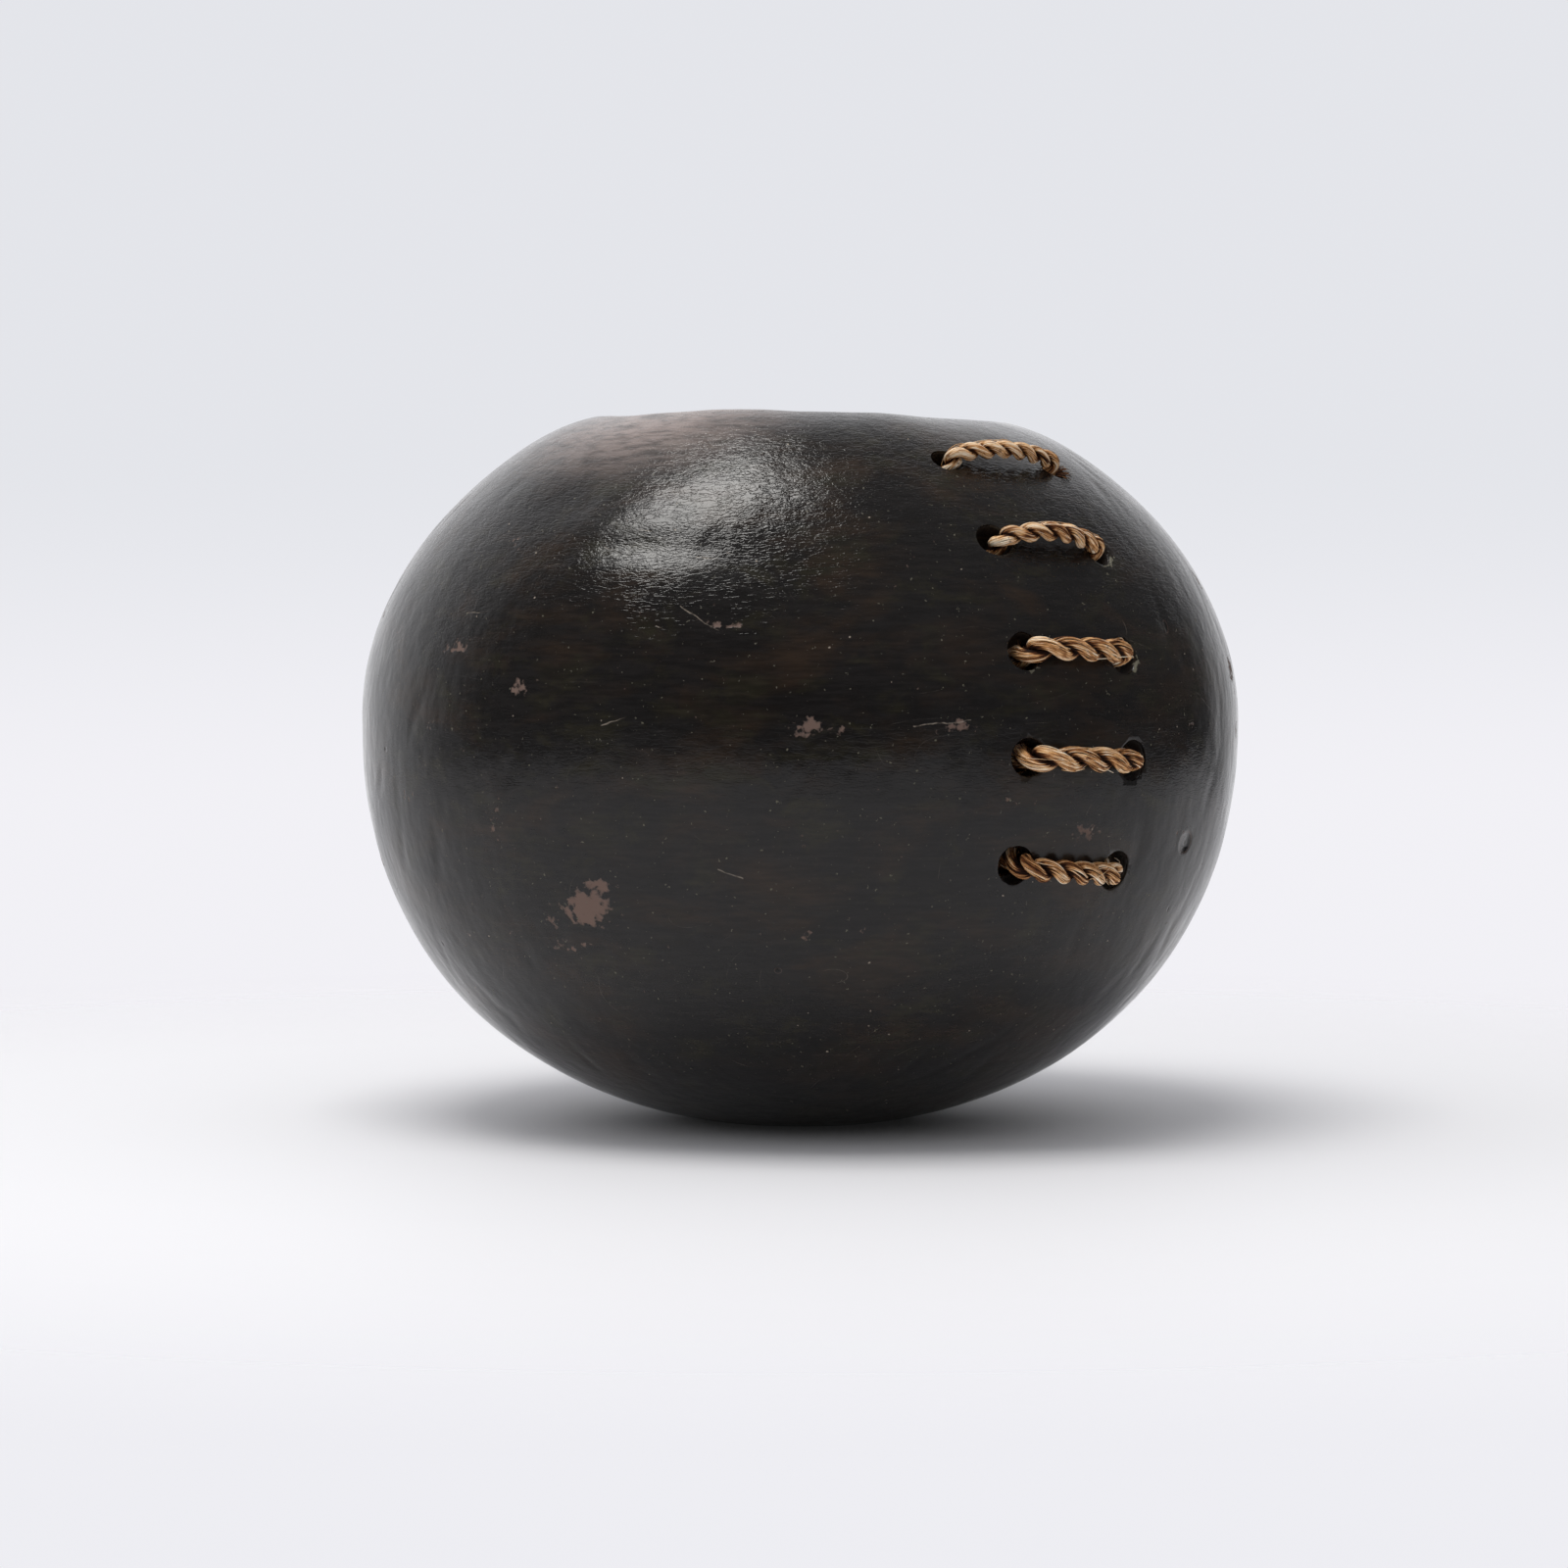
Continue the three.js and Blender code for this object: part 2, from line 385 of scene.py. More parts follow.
# A soft-edged ball or flattened ball of influence round a place.
def spotGroup():
    tree, given, out = newGroup(
        "softSpot", {"Place": nowhere, "Centre": nowhere, "Reach": (0.02, 0.02, 0.02)}, {"Mask": "Float"}
    )
    off = vectorOut(tree, "SUBTRACT", given["Place"], given["Centre"])
    away = vectorOut(tree, "LENGTH", vectorOut(tree, "DIVIDE", off, given["Reach"]))
    tree.links.new(rangeOut(tree, away, 1.4, 0.2), out.inputs["Mask"])
    return tree


# One fine scratch between two points, laid down on the skin along the outward direction.
def scratchGroup():
    tree, given, out = newGroup(
        "scratch",
        {
            "Place": nowhere, "From": nowhere, "To": nowhere, "Outward": (0.0, -1.0, 0.0),
            "Width": 0.0003, "Shake": 0.0022, "Reach": 0.008,
        },
        {"Mask": "Float"},
    )
    shake = noiseOut(tree, given["Place"], 160.0, 2.0, output="Color")
    centred = vectorOut(tree, "SUBTRACT", shake, (0.5, 0.5, 0.5))
    moved = vectorOut(tree, "ADD", scaleOut(tree, centred, given["Shake"]), given["Place"])
    off = vectorOut(tree, "SUBTRACT", moved, given["From"])
    lift = vectorOut(tree, "DOT_PRODUCT", off, given["Outward"])
    off = vectorOut(tree, "SUBTRACT", off, scaleOut(tree, given["Outward"], lift))
    near = mathOut(tree, "LESS_THAN", mathOut(tree, "ABSOLUTE", lift), given["Reach"])
    whole = vectorOut(tree, "SUBTRACT", given["To"], given["From"])
    dot = vectorOut(tree, "DOT_PRODUCT", off, whole)
    share = mathOut(tree, "DIVIDE", dot, vectorOut(tree, "DOT_PRODUCT", whole, whole), clamp=True)
    apart = vectorOut(tree, "DISTANCE", off, scaleOut(tree, whole, share))
    line = rangeOut(tree, mathOut(tree, "DIVIDE", apart, given["Width"]), 1.0, 0.3)
    tree.links.new(mathOut(tree, "MULTIPLY", line, near), out.inputs["Mask"])
    return tree


# The gourd's form, in millimetres.
gourd = {
    "bellyRadius": (cadBox[1][0] - cadBox[0][0]) / 2 / mm,
    "bellyHeight": 128.5,
    "crownHeight": 111.5,
    "crownPower": 1.954,
    "baseHeight": 130.5,
    "basePower": 2.21,
    "wall": 7.0,
    "mouthRadius": 65.5,
    "mouthLeanIn": 2.5,
    "lipCrown": 1.1,  # how far the cut edge stands up between its corners
    "rimHeight": 223.3,
    "sagFrom": 90.0,
    "rimLean": 0.9,
    "rimWave": 0.5,
    "rimBlend": 190.0,
    "rimFacet": 0.35,  # small flats left by the knife
    "facetSeed": 3,
    "roundSteps": 400,
    "outsideRows": 168,
    "lipRows": 7,
    "insideRows": 46,
    "baseRows": 3,
    "swell": 0.75,  # broad unevenness of growth
    "swellSize": 58.0,
    "ripple": 0.22,
    "rippleSize": 21.0,
    "seed": 11,
    "insideRough": ((0.48, 9.0, 21), (0.32, 3.6, 22)),  # how much, how broad, and its seed
    "calmByCords": 0.75,  # the cords lie on an even stretch of skin
    "calmReach": 24.0,
    "groundedBelow": 25.0,
}

# Shallow scrapes that run up and down the skin, in millimetres.
scrapes = {
    "count": 330,
    "heights": (18, 212),
    "long": (9.0, 26.0),
    "wide": (2.6, 5.2),
    "deep": (0.07, 0.30),
    "leanMiddle": -0.25,
    "lean": 0.35,
    "seed": 5,
    "calm": 0.85,  # the front of the crown is smoother: how much, and in which degrees and heights
    "calmAt": -12.0,
    "calmReach": (36.0, 52.0),
    "calmAbove": (135.0, 155.0),
}

# Broad hollows: azimuth from the front, height, half width, half height, depth.
hollows = [
    (-22.0, 182.0, 30.0, 6.0, 0.7),
    (12.0, 176.0, 26.0, 15.0, 0.9),
    (-40.0, 196.0, 17.0, 13.0, 0.8),
    (55.5, 157.0, 1.8, 5.0, 0.5),
    (58.0, 147.0, 1.6, 4.0, 0.4),
]


def halfOutline(isCrown):
    height = np.where(isCrown, gourd["crownHeight"], gourd["baseHeight"])
    power = np.where(isCrown, gourd["crownPower"], gourd["basePower"])
    return height, power


# A point of the plain outline, from its turn about the belly's middle.
def outlineAt(turn, inset=0.0):
    height, power = halfOutline(turn > 0)
    across = np.abs(np.cos(turn)) ** (2 / power)
    up = np.sign(turn) * np.abs(np.sin(turn)) ** (2 / power)
    return (gourd["bellyRadius"] - inset) * across, gourd["bellyHeight"] + (height - inset) * up


def turnAtHeight(z):
    height, power = halfOutline(z > gourd["bellyHeight"])
    off = z - gourd["bellyHeight"]
    share = np.clip(np.abs(off) / height, 0, 1)
    return np.sign(off) * np.arcsin(share ** (power / 2))


def turnAtRadius(radius, inset=0.0):
    share = radius / (gourd["bellyRadius"] - inset)
    return np.arccos(share ** (gourd["crownPower"] / 2))


sagAtMouth = float(outlineAt(turnAtRadius(gourd["mouthRadius"]))[1]) - gourd["rimHeight"]


# How far the crown sinks below its plain outline towards the mouth.
def sagAt(radius, z):
    share = np.clip((gourd["sagFrom"] - radius) / (gourd["sagFrom"] - gourd["mouthRadius"]), 0, None)
    return np.where(z > gourd["bellyHeight"], sagAtMouth * share**2, 0.0)


def smoothStep(value, low, high):
    share = np.clip((value - low) / (high - low), 0, 1)
    return share * share * (3 - 2 * share)


# How far the rim is up or down from level.
def rimShift(azimuth, z):
    ring = np.stack([np.sin(azimuth) * 5, np.cos(azimuth) * 5, azimuth * 0], -1)
    facet = gourd["rimFacet"] * smoothNoise(ring, gourd["facetSeed"])
    lean = -gourd["rimLean"] * np.sin(azimuth) + gourd["rimWave"] * np.cos(3 * azimuth)
    share = smoothStep(z, gourd["rimBlend"], gourd["rimHeight"])
    return share * lean + share**6 * facet


# Value noise between -1 and 1 on a seeded lattice.
def smoothNoise(points, seed):
    cell = np.floor(points).astype(np.int64)
    part = points - cell
    part = part * part * (3 - 2 * part)
    total = np.zeros(points.shape[:-1])
    for corner in itertools.product((0, 1), repeat=3):
        at = cell + np.array(corner)
        mixed = at[..., 0] * 374761393 + at[..., 1] * 668265263 + at[..., 2] * 2246822519 + seed * 3266489917
        mixed = mixed & 0xFFFFFFFF
        mixed = ((mixed ^ (mixed >> 13)) * 1274126177) & 0xFFFFFFFF
        value = ((mixed ^ (mixed >> 16)) & 0xFFFF) / 32767.5 - 1
        weight = np.prod(np.where(np.array(corner) == 1, part, 1 - part), axis=-1)
        total += weight * value
    return total


# The skin at an azimuth (radians) and height: point, way out, way along and way uphill.
def skinAt(azimuth, z):
    turn = turnAtHeight(z)
    radius, height = outlineAt(turn)
    ahead, behind = outlineAt(turn + 0.01), outlineAt(turn - 0.01)
    slope = np.array([ahead[0] - behind[0], ahead[1] - behind[1]])
    slope = slope / np.hypot(*slope)
    around = np.array([math.sin(azimuth), -math.cos(azimuth), 0.0])
    along = np.array([math.cos(azimuth), math.sin(azimuth), 0.0])
    uphill = around * slope[0] + np.array([0, 0, slope[1]])
    outward = around * slope[1] - np.array([0, 0, slope[0]])
    point = around * radius + np.array([0, 0, height])
    return point, outward, along, uphill


# The same for a mark that starts with its azimuth in degrees and its height.
def skinUnder(mark):
    return skinAt(math.radians(mark[0]), mark[1])


def makeScrapes():
    rng = np.random.default_rng(scrapes["seed"])
    near, far = scrapes["calmReach"]
    made = []
    for _ in range(scrapes["count"]):
        azimuth = rng.uniform(-math.pi, math.pi)
        z = rng.uniform(*scrapes["heights"])
        lean = rng.normal(0, scrapes["lean"]) + scrapes["leanMiddle"]
        long, wide = rng.uniform(*scrapes["long"]), rng.uniform(*scrapes["wide"])
        deep = rng.uniform(*scrapes["deep"])
        turned = abs(math.degrees(azimuth) - scrapes["calmAt"])
        calm = smoothStep(-turned, -far, -near) * smoothStep(z, *scrapes["calmAbove"])
        deep *= 1 - scrapes["calm"] * float(calm)
        point, _, along, uphill = skinAt(azimuth, z)
        across = along * math.cos(lean) + uphill * math.sin(lean)
        up = uphill * math.cos(lean) - along * math.sin(lean)
        made.append((point, across, up, wide / 2, long / 2, deep))
    for hollow in hollows:
        point, _, along, uphill = skinUnder(hollow)
        made.append((point, along, uphill, *hollow[2:]))
    return made


skinMarks = makeScrapes()


# How far the real skin stands off the plain outline.
def reliefAt(points):
    flat = points.reshape(-1, 3)
    total = gourd["swell"] * smoothNoise(flat / gourd["swellSize"], gourd["seed"])
    total += gourd["ripple"] * smoothNoise(flat / gourd["rippleSize"], gourd["seed"] + 1)
    for centre, across, up, wide, tall, deep in skinMarks:
        off = flat - centre
        near = np.flatnonzero(np.einsum("ij,ij->i", off, off) < (2.6 * max(wide, tall)) ** 2)
        close = off[near]
        reach = (close @ across / wide) ** 2 + (close @ up / tall) ** 2
        total[near] -= deep * np.exp(-reach)
    for tie in ties:
        middle = (skinUnder(tie["left"])[0] + skinUnder(tie["right"])[0]) / 2
        off = np.linalg.norm(flat - middle, axis=1)
        total *= 1 - gourd["calmByCords"] * np.exp(-((off / gourd["calmReach"]) ** 4))
    grounded = smoothStep(flat[:, 2], 0.0, gourd["groundedBelow"])
    return (total * grounded).reshape(points.shape[:-1])


# How deep a point lies below the skin.
def depthBelowSkin(points):
    radius = np.hypot(points[:, 0], points[:, 1])
    azimuth = np.arctan2(points[:, 0], -points[:, 1])
    z = points[:, 2] - rimShift(azimuth, points[:, 2])
    z = z + sagAt(radius, z)

    def field(r, h):
        height, power = halfOutline(h > gourd["bellyHeight"])
        share = (r / gourd["bellyRadius"]) ** power + (np.abs(h - gourd["bellyHeight"]) / height) ** power
        return share ** (1 / power)

    here = field(radius, z)
    steep = np.hypot(field(radius + 0.1, z) - here, field(radius, z + 0.1) - here) / 0.1
    return (1 - here) / steep + reliefAt(points)


# The same line in even steps.
def evenly(radius, z, count):
    length = np.concatenate([[0], np.cumsum(np.hypot(np.diff(radius), np.diff(z)))])
    at = np.linspace(0, length[-1], count)
    return np.interp(at, length, radius), np.interp(at, length, z)


# The plain outline from the base over the rim and down the inside, and how far each row is skin.
def plainRows():
    fine = 1500
    turns = np.linspace(float(turnAtHeight(0.0)), float(turnAtRadius(gourd["mouthRadius"])), fine)
    radius, z = outlineAt(turns)
    outside = evenly(radius, z - sagAt(radius, z), gourd["outsideRows"])
    lipTurn = float(turnAtRadius(gourd["mouthRadius"] - gourd["mouthLeanIn"], gourd["wall"]))
    radius, z = outlineAt(np.linspace(lipTurn, -math.pi / 2, fine), gourd["wall"])
    inside = evenly(radius, z - sagAt(radius, z), gourd["insideRows"])
    start = np.array([outside[0][-1], outside[1][-1]])
    end = np.array([inside[0][0], inside[1][0]])
    slope = start - np.array([outside[0][-4], outside[1][-4]])
    slope = slope / np.hypot(*slope)
    lip = []
    for share in np.linspace(0, 1, gourd["lipRows"] + 2)[1:-1]:
        crown = gourd["lipCrown"] * (1 - abs(2 * share - 1) ** 3)
        lip.append(start + (end - start) * share + slope * crown)
    lip = np.array(lip)
    base = np.linspace(0, outside[0][0], gourd["baseRows"] + 2)[1:-1]
    innerRadius, innerZ = inside[0][:-1], inside[1][:-1]
    radius = np.concatenate([base, outside[0], lip[:, 0], innerRadius])
    z = np.concatenate([base * 0, outside[1], lip[:, 1], innerZ])
    skin = np.concatenate([base * 0, np.ones(len(outside[0])), np.linspace(1, 0, len(lip)), innerZ * 0])
    isInside = np.arange(len(radius)) >= len(radius) - len(innerZ)
    return radius, z, skin, isInside, float(inside[1][-1])


# The faces of a net of rings, each with so many points.
def ringFaces(rings, around, start):
    row = np.arange(rings - 1)[:, None] * around
    col = np.arange(around)[None, :]
    after = (col + 1) % around
    quads = np.stack([row + col, row + after, row + around + after, row + around + col], -1)
    return (quads.reshape(-1, 4) + start).tolist()


def newMesh(name, verts, faces):
    mesh = bpy.data.meshes.new(name)
    mesh.from_pydata((verts * mm).tolist(), [], faces)
    return mesh


def makeShellMesh():
    radius, z, skin, isInside, floorHeight = plainRows()
    rows, around = len(radius), gourd["roundSteps"]
    azimuth = np.linspace(-math.pi, math.pi, around, endpoint=False)[None, :]
    slopeR, slopeZ = np.gradient(radius), np.gradient(z)
    size = np.hypot(slopeR, slopeZ)

    def carried(r, h):  # an outline's values, carried round the gourd
        r, h = r[:, None], h[:, None]
        return np.stack([np.sin(azimuth) * r, -np.cos(azimuth) * r, h + azimuth * 0], -1)

    out, points = carried(slopeZ / size, -slopeR / size), carried(radius, z)
    lift = reliefAt(points) * skin[:, None]
    for deep, broad, seed in gourd["insideRough"]:
        lift += smoothNoise(points / broad, seed) * deep * isInside[:, None]
    shift = rimShift(azimuth + z[:, None] * 0, z[:, None] + azimuth * 0)
    points = points + out * lift[..., None]
    points[..., 2] += shift
    points[..., 2] = np.where(isInside[:, None], points[..., 2], np.maximum(points[..., 2], 0.0))
    verts = np.concatenate([[[0, 0, 0]], points.reshape(-1, 3), [[0, 0, floorHeight]]])
    last = 1 + (rows - 1) * around
    faces = ringFaces(rows, around, 1)
    faces += [(0, 1 + (i + 1) % around, 1 + i) for i in range(around)]
    faces += [(len(verts) - 1, last + i, last + (i + 1) % around) for i in range(around)]
    return newMesh("gourdSkin", verts, faces)


# Five cord ties, from the top down. A hole is its azimuth, height and radius; azimuths are in degrees
# from the front, towards +X. A chip in its edge is its angle, width and spread.
ties = [
    {
        "left": (27.7, 208.5, 5.0), "right": (52.4, 206.4, 4.6), "cordRadius": 2.65, "arch": 1.7, "lobe": 6.1,
        "phase": 0.1, "tones": (0.70, 0.58), "spread": 0.06, "uphill": 0.6, "chips": {}, "tuft": 34,
    },
    {
        "left": (28.8, 184.0, 5.7), "right": (47.3, 180.7, 4.9), "cordRadius": 2.85, "arch": 2.4, "lobe": 6.5,
        "phase": 0.1, "tones": (0.68, 0.52), "spread": -0.04, "uphill": 0.8,
        "chips": {"right": [(-50, 0.7, 50)]},
    },
    {
        "left": (29.1, 150.9, 5.8), "right": (45.0, 149.5, 5.8), "cordRadius": 3.45, "arch": 0.8, "lobe": 9.6,
        "phase": 0.20, "tones": (0.64, 0.54), "spread": 0.16, "uphill": 0.0,
        "chips": {"right": [(-30, 1.0, 36)], "left": [(-75, 0.35, 22)]},
    },
    {
        "left": (28.9, 119.5, 5.7), "right": (45.7, 117.8, 6.1), "cordRadius": 3.6, "arch": 0.8, "lobe": 10.4,
        "phase": 0.14, "tones": (0.54, 0.50), "spread": 0.12, "uphill": 0.3, "chips": {},
    },
    {
        "left": (28.3, 87.6, 6.0), "right": (45.1, 84.6, 6.1), "cordRadius": 3.4, "arch": 0.8, "lobe": 7.2,
        "phase": 0.1, "tones": (0.34, 0.72), "spread": 0.20, "uphill": 0.0, "chips": {},
    },
]

holeWear = {
    "worn": 0.38,
    "wobble": 0.035,
    "rough": 0.10,  # inside the bore
    "jag": 0.35,  # how ragged a chip is
    "sides": 44,
    "beyond": 5.0,
    "lifts": (-5.2, -4.2, -3.2, -2.4, -1.8, -1.3, -0.9, -0.6, -0.35, -0.15, 0.05, 0.5),
    "above": 3.0,
    "seed": 40,
}


# How far angles in degrees are from one of them, between -180 and 180.
def angleFrom(angles, middle):
    return (angles - middle + 180) % 360 - 180


# One hole as a solid to cut away: a slightly uneven bore whose mouth flares where it is worn or chipped.
def holeCutter(hole, chips, seed):
    point, outward, along, uphill = skinUnder(hole)
    point = point + outward * reliefAt(point[None, :])[0]
    sides = holeWear["sides"]
    turn = np.linspace(0, 2 * math.pi, sides, endpoint=False)
    ring = np.stack([np.cos(turn) * 1.6, np.sin(turn) * 1.6, turn * 0], -1)
    wobble = 1 + holeWear["wobble"] * smoothNoise(ring, seed)
    flare = holeWear["worn"] * (1 + 0.5 * smoothNoise(ring * 2.2, seed + 1))
    for angle, width, spread in chips:
        off = angleFrom(np.degrees(turn), angle)
        jag = 1 + holeWear["jag"] * smoothNoise(ring * 4, seed + 2)
        flare = flare + width * jag * np.exp(-((off / spread) ** 2))
    lifts = [-(gourd["wall"] + holeWear["beyond"]), *holeWear["lifts"], holeWear["above"]]
    verts = []
    for lift in lifts:
        depth = np.clip((lift + 1.3 * flare) / (1.3 * flare), 0, 1)
        out = flare * (1 - np.sqrt(1 - np.minimum(depth, 0.98) ** 2)) + max(lift, 0) * 0.9
        rough = holeWear["rough"] * smoothNoise(ring * 5 + lift, seed + 3) if lift < -0.5 else 0.0
        reach = hole[2] * wobble + out + rough
        across = (np.cos(turn) * reach)[:, None] * along + (np.sin(turn) * reach)[:, None] * uphill
        verts.append(point + outward * lift + across)
    faces = ringFaces(len(lifts), sides, 0)
    faces.append(tuple(reversed(range(sides))))
    faces.append(tuple(range((len(lifts) - 1) * sides, len(lifts) * sides)))
    return np.concatenate(verts), faces


def cutHoles(shell):
    verts, faces, start = [], [], 0
    for number, tie in enumerate(ties):
        for side in ("left", "right"):
            seed = holeWear["seed"] + 7 * number + (side == "right")
            holeVerts, holeFaces = holeCutter(tie[side], tie["chips"].get(side, []), seed)
            verts.append(holeVerts)
            faces += [tuple(start + i for i in face) for face in holeFaces]
            start += len(holeVerts)
    cutter = newObject("holeCutter", newMesh("holeCutter", np.concatenate(verts), faces))
    cut = shell.modifiers.new("holes", "BOOLEAN")
    cut.object, cut.operation, cut.solver = cutter, "DIFFERENCE", "EXACT"
    graph = bpy.context.evaluated_depsgraph_get()
    mesh = bpy.data.meshes.new_from_object(shell.evaluated_get(graph))
    shell.modifiers.clear()
    shell.data = mesh
    bpy.data.objects.remove(cutter)


def pointsOf(mesh):
    flat = np.empty(len(mesh.vertices) * 3)
    mesh.vertices.foreach_get("co", flat)
    return flat.reshape(-1, 3) / mm


def addAttribute(mesh, name, values):
    layer = mesh.attributes.new(name, "FLOAT", "POINT")
    layer.data.foreach_set("value", np.asarray(values, dtype=np.float32))


# Pale worn places on the skin: azimuth, height, half width, half height, strength.
scuffs = [
    (-28.8, 74.4, 8.0, 5.2, 1.0),
    (-27.0, 81.5, 6.0, 2.2, 0.7),
    (-35.0, 70.5, 3.0, 3.0, 0.55),
    (1.2, 128.5, 4.2, 3.2, 0.8),
    (5.0, 128.0, 5.5, 1.6, 0.5),
    (19.4, 129.6, 6.5, 1.8, 0.72),
    (38.5, 97.0, 5.0, 3.0, 0.6),
    (-36.5, 140.0, 3.6, 3.2, 0.6),
    (-49.0, 152.0, 7.0, 2.0, 0.62),
    (-45.0, 184.0, 3.0, 3.0, 0.45),
    (-9.5, 159.0, 8.0, 1.5, 0.7),
    (1.0, 67.5, 3.2, 2.0, 0.5),
    (8.0, 68.5, 2.6, 1.4, 0.42),
    (-60.0, 106.0, 6.0, 2.5, 0.4),
    (-41.5, 99.5, 3.0, 6.5, 0.45),
    (27.0, 107.0, 2.6, 5.0, 0.42),
    (-53.0, 128.0, 6.0, 1.6, 0.4),
    (59.0, 94.0, 3.4, 2.4, 0.45),
    (58.5, 128.0, 1.8, 2.8, 0.5),
    (-33.0, 62.0, 9.0, 3.0, 0.4),
]

# The rest of the skin is as worn as the front: the range of each of the same five values.
otherScuffs = {"count": 44, "seed": 23, "ranges": ((75, 285), (40, 200), (2, 7), (1.4, 4), (0.35, 0.85))}


def scuffAt(points):
    rng = np.random.default_rng(otherScuffs["seed"])
    marks = list(scuffs)
    for _ in range(otherScuffs["count"]):
        marks.append([rng.uniform(*ends) for ends in otherScuffs["ranges"]])
    total = np.zeros(len(points))
    for mark in marks:
        centre, _, along, uphill = skinUnder(mark)
        wide, tall, strength = mark[2:]
        off = points - centre
        reach = (off @ along / wide) ** 2 + (off @ uphill / tall) ** 2
        reach += (np.linalg.norm(off, axis=1) > 40) * 99  # not through to the far side
        total = np.maximum(total, strength * np.exp(-reach))
    return total


def chipAt(points):
    total = np.zeros(len(points))
    for tie in ties:
        for side, chips in tie["chips"].items():
            centre, outward, along, uphill = skinUnder(tie[side])
            off = points - centre
            u, v = off @ along, off @ uphill
            reach = np.hypot(u, v) - tie[side][2]
            angle = np.degrees(np.arctan2(v, u))
            for at, width, spread in chips:
                turned = angleFrom(angle, at)
                edge = np.exp(-((turned / spread) ** 2)) * smoothStep(reach, 0.1 * width, 0.5 * width)
                edge = edge * (1 - smoothStep(reach, 0.9 * width + 0.3, 1.3 * width + 0.7))
                total = np.maximum(total, edge * (np.abs(off @ outward) < 4))
    return total


def makeGourd(material):
    shell = newObject("hollow_gourd", makeShellMesh())
    cutHoles(shell)
    points = pointsOf(shell.data)
    addAttribute(shell.data, "below", depthBelowSkin(points))
    addAttribute(shell.data, "scuff", scuffAt(points))
    addAttribute(shell.data, "chip", chipAt(points))
    shell.data.shade_smooth()
    shell.data.set_sharp_from_angle(angle=math.radians(48))
    shell.data.materials.clear()
    shell.data.materials.append(material)
    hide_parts("gourd_shell")
    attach(shell, "root")
    print("gourd made:", len(shell.data.vertices), "vertices")


# Lengths are in metres.
skinFinish = {
    "dark": (0.0115, 0.0102, 0.0098),
    "brown": (0.0250, 0.0160, 0.0105),
    "olive": (0.0200, 0.0175, 0.0110),
    "stripe": (0.84, 1.24),
    "bloomAndPaintedSheen": (0.280, 0.220, 0.198),  # paler bloom on the left of the crown, partly a painted reflection of the bright room behind
    "bloomSheenAt": (-0.048, -0.060, 0.226),
    "bloomSheenReach": (0.045, 0.045, 0.024),
    "scuffTone": (0.165, 0.108, 0.086),
    "fleckTone": (0.30, 0.25, 0.20),
    "chipTone": (0.155, 0.145, 0.105),
    "pitShadeTone": (0.004, 0.0035, 0.003),
    "rawTone": (0.046, 0.028, 0.017),  # the bare wall inside the pot
    "rawPale": (0.110, 0.075, 0.046),
    "boreTone": (0.016, 0.011, 0.008),  # the wall of a hole, darker than the bare wall inside the pot
    "boreDeep": (1.00, 1.50),  # millimetres below the skin where its gloss ends
    "gloss": (0.12, 0.20),
    "bloomSheenDull": 0.12,
    "scuffRough": 0.72,
    "fleckRough": 0.60,
    "chipRough": 0.80,
    "rawRough": 0.82,
    "shine": 0.30,
    "scratchWide": 0.00027,
    "wrinkle": 0.000065,
    "crease": 0.00003,
    "grit": 0.000018,
    "smoothBelow": (0.115, 0.175),  # the lower skin is rubbed smoother than the crown
    "smoothLeft": 0.22,
    "dent": 0.00022,
    "scratchDeep": 0.00005,
    "scuffDeep": 0.00007,
    "rawDeep": 0.0005,
}

# Single scratches, from end to end in metres.
scratches = [
    ((-0.021, -0.116, 0.178), (-0.006, -0.118, 0.1745)),
    ((-0.041, -0.122, 0.157), (-0.027, -0.1285, 0.1515)),
    ((-0.0575, -0.1265, 0.1290), (-0.0465, -0.1310, 0.1330)),
    ((0.033, -0.1355, 0.1290), (0.050, -0.1300, 0.1305)),
    ((-0.104, -0.0905, 0.1640), (-0.086, -0.1070, 0.1640)),
    ((-0.0235, -0.1330, 0.0870), (-0.0165, -0.1335, 0.0845)),
    ((-0.0463, -0.1025, 0.1840), (-0.0180, -0.1160, 0.1775)),
    ((-0.0340, -0.1225, 0.1625), (-0.0225, -0.1275, 0.1555)),
    ((-0.0560, -0.1020, 0.1790), (-0.0370, -0.1120, 0.1730)),
    ((-0.0300, -0.1140, 0.1760), (0.0020, -0.1210, 0.1715)),
]

# Single pits in the skin: azimuth, height, half width, half height, and how deep, in millimetres.
pits = [
    (60.6, 91.6, 3.8, 3.2, 0.9),
    (0.3, 97.3, 0.55, 0.5, 0.2),
    (0.5, 94.2, 0.6, 0.5, 0.2),
    (-3.0, 56.5, 1.0, 0.9, 0.35),
    (61.5, 71.0, 0.6, 0.9, 0.2),
    (56.0, 158.0, 0.9, 2.6, 0.25),
    (-66.0, 120.0, 0.9, 0.8, 0.2),
    (-63.0, 60.0, 0.9, 1.0, 0.25),
]


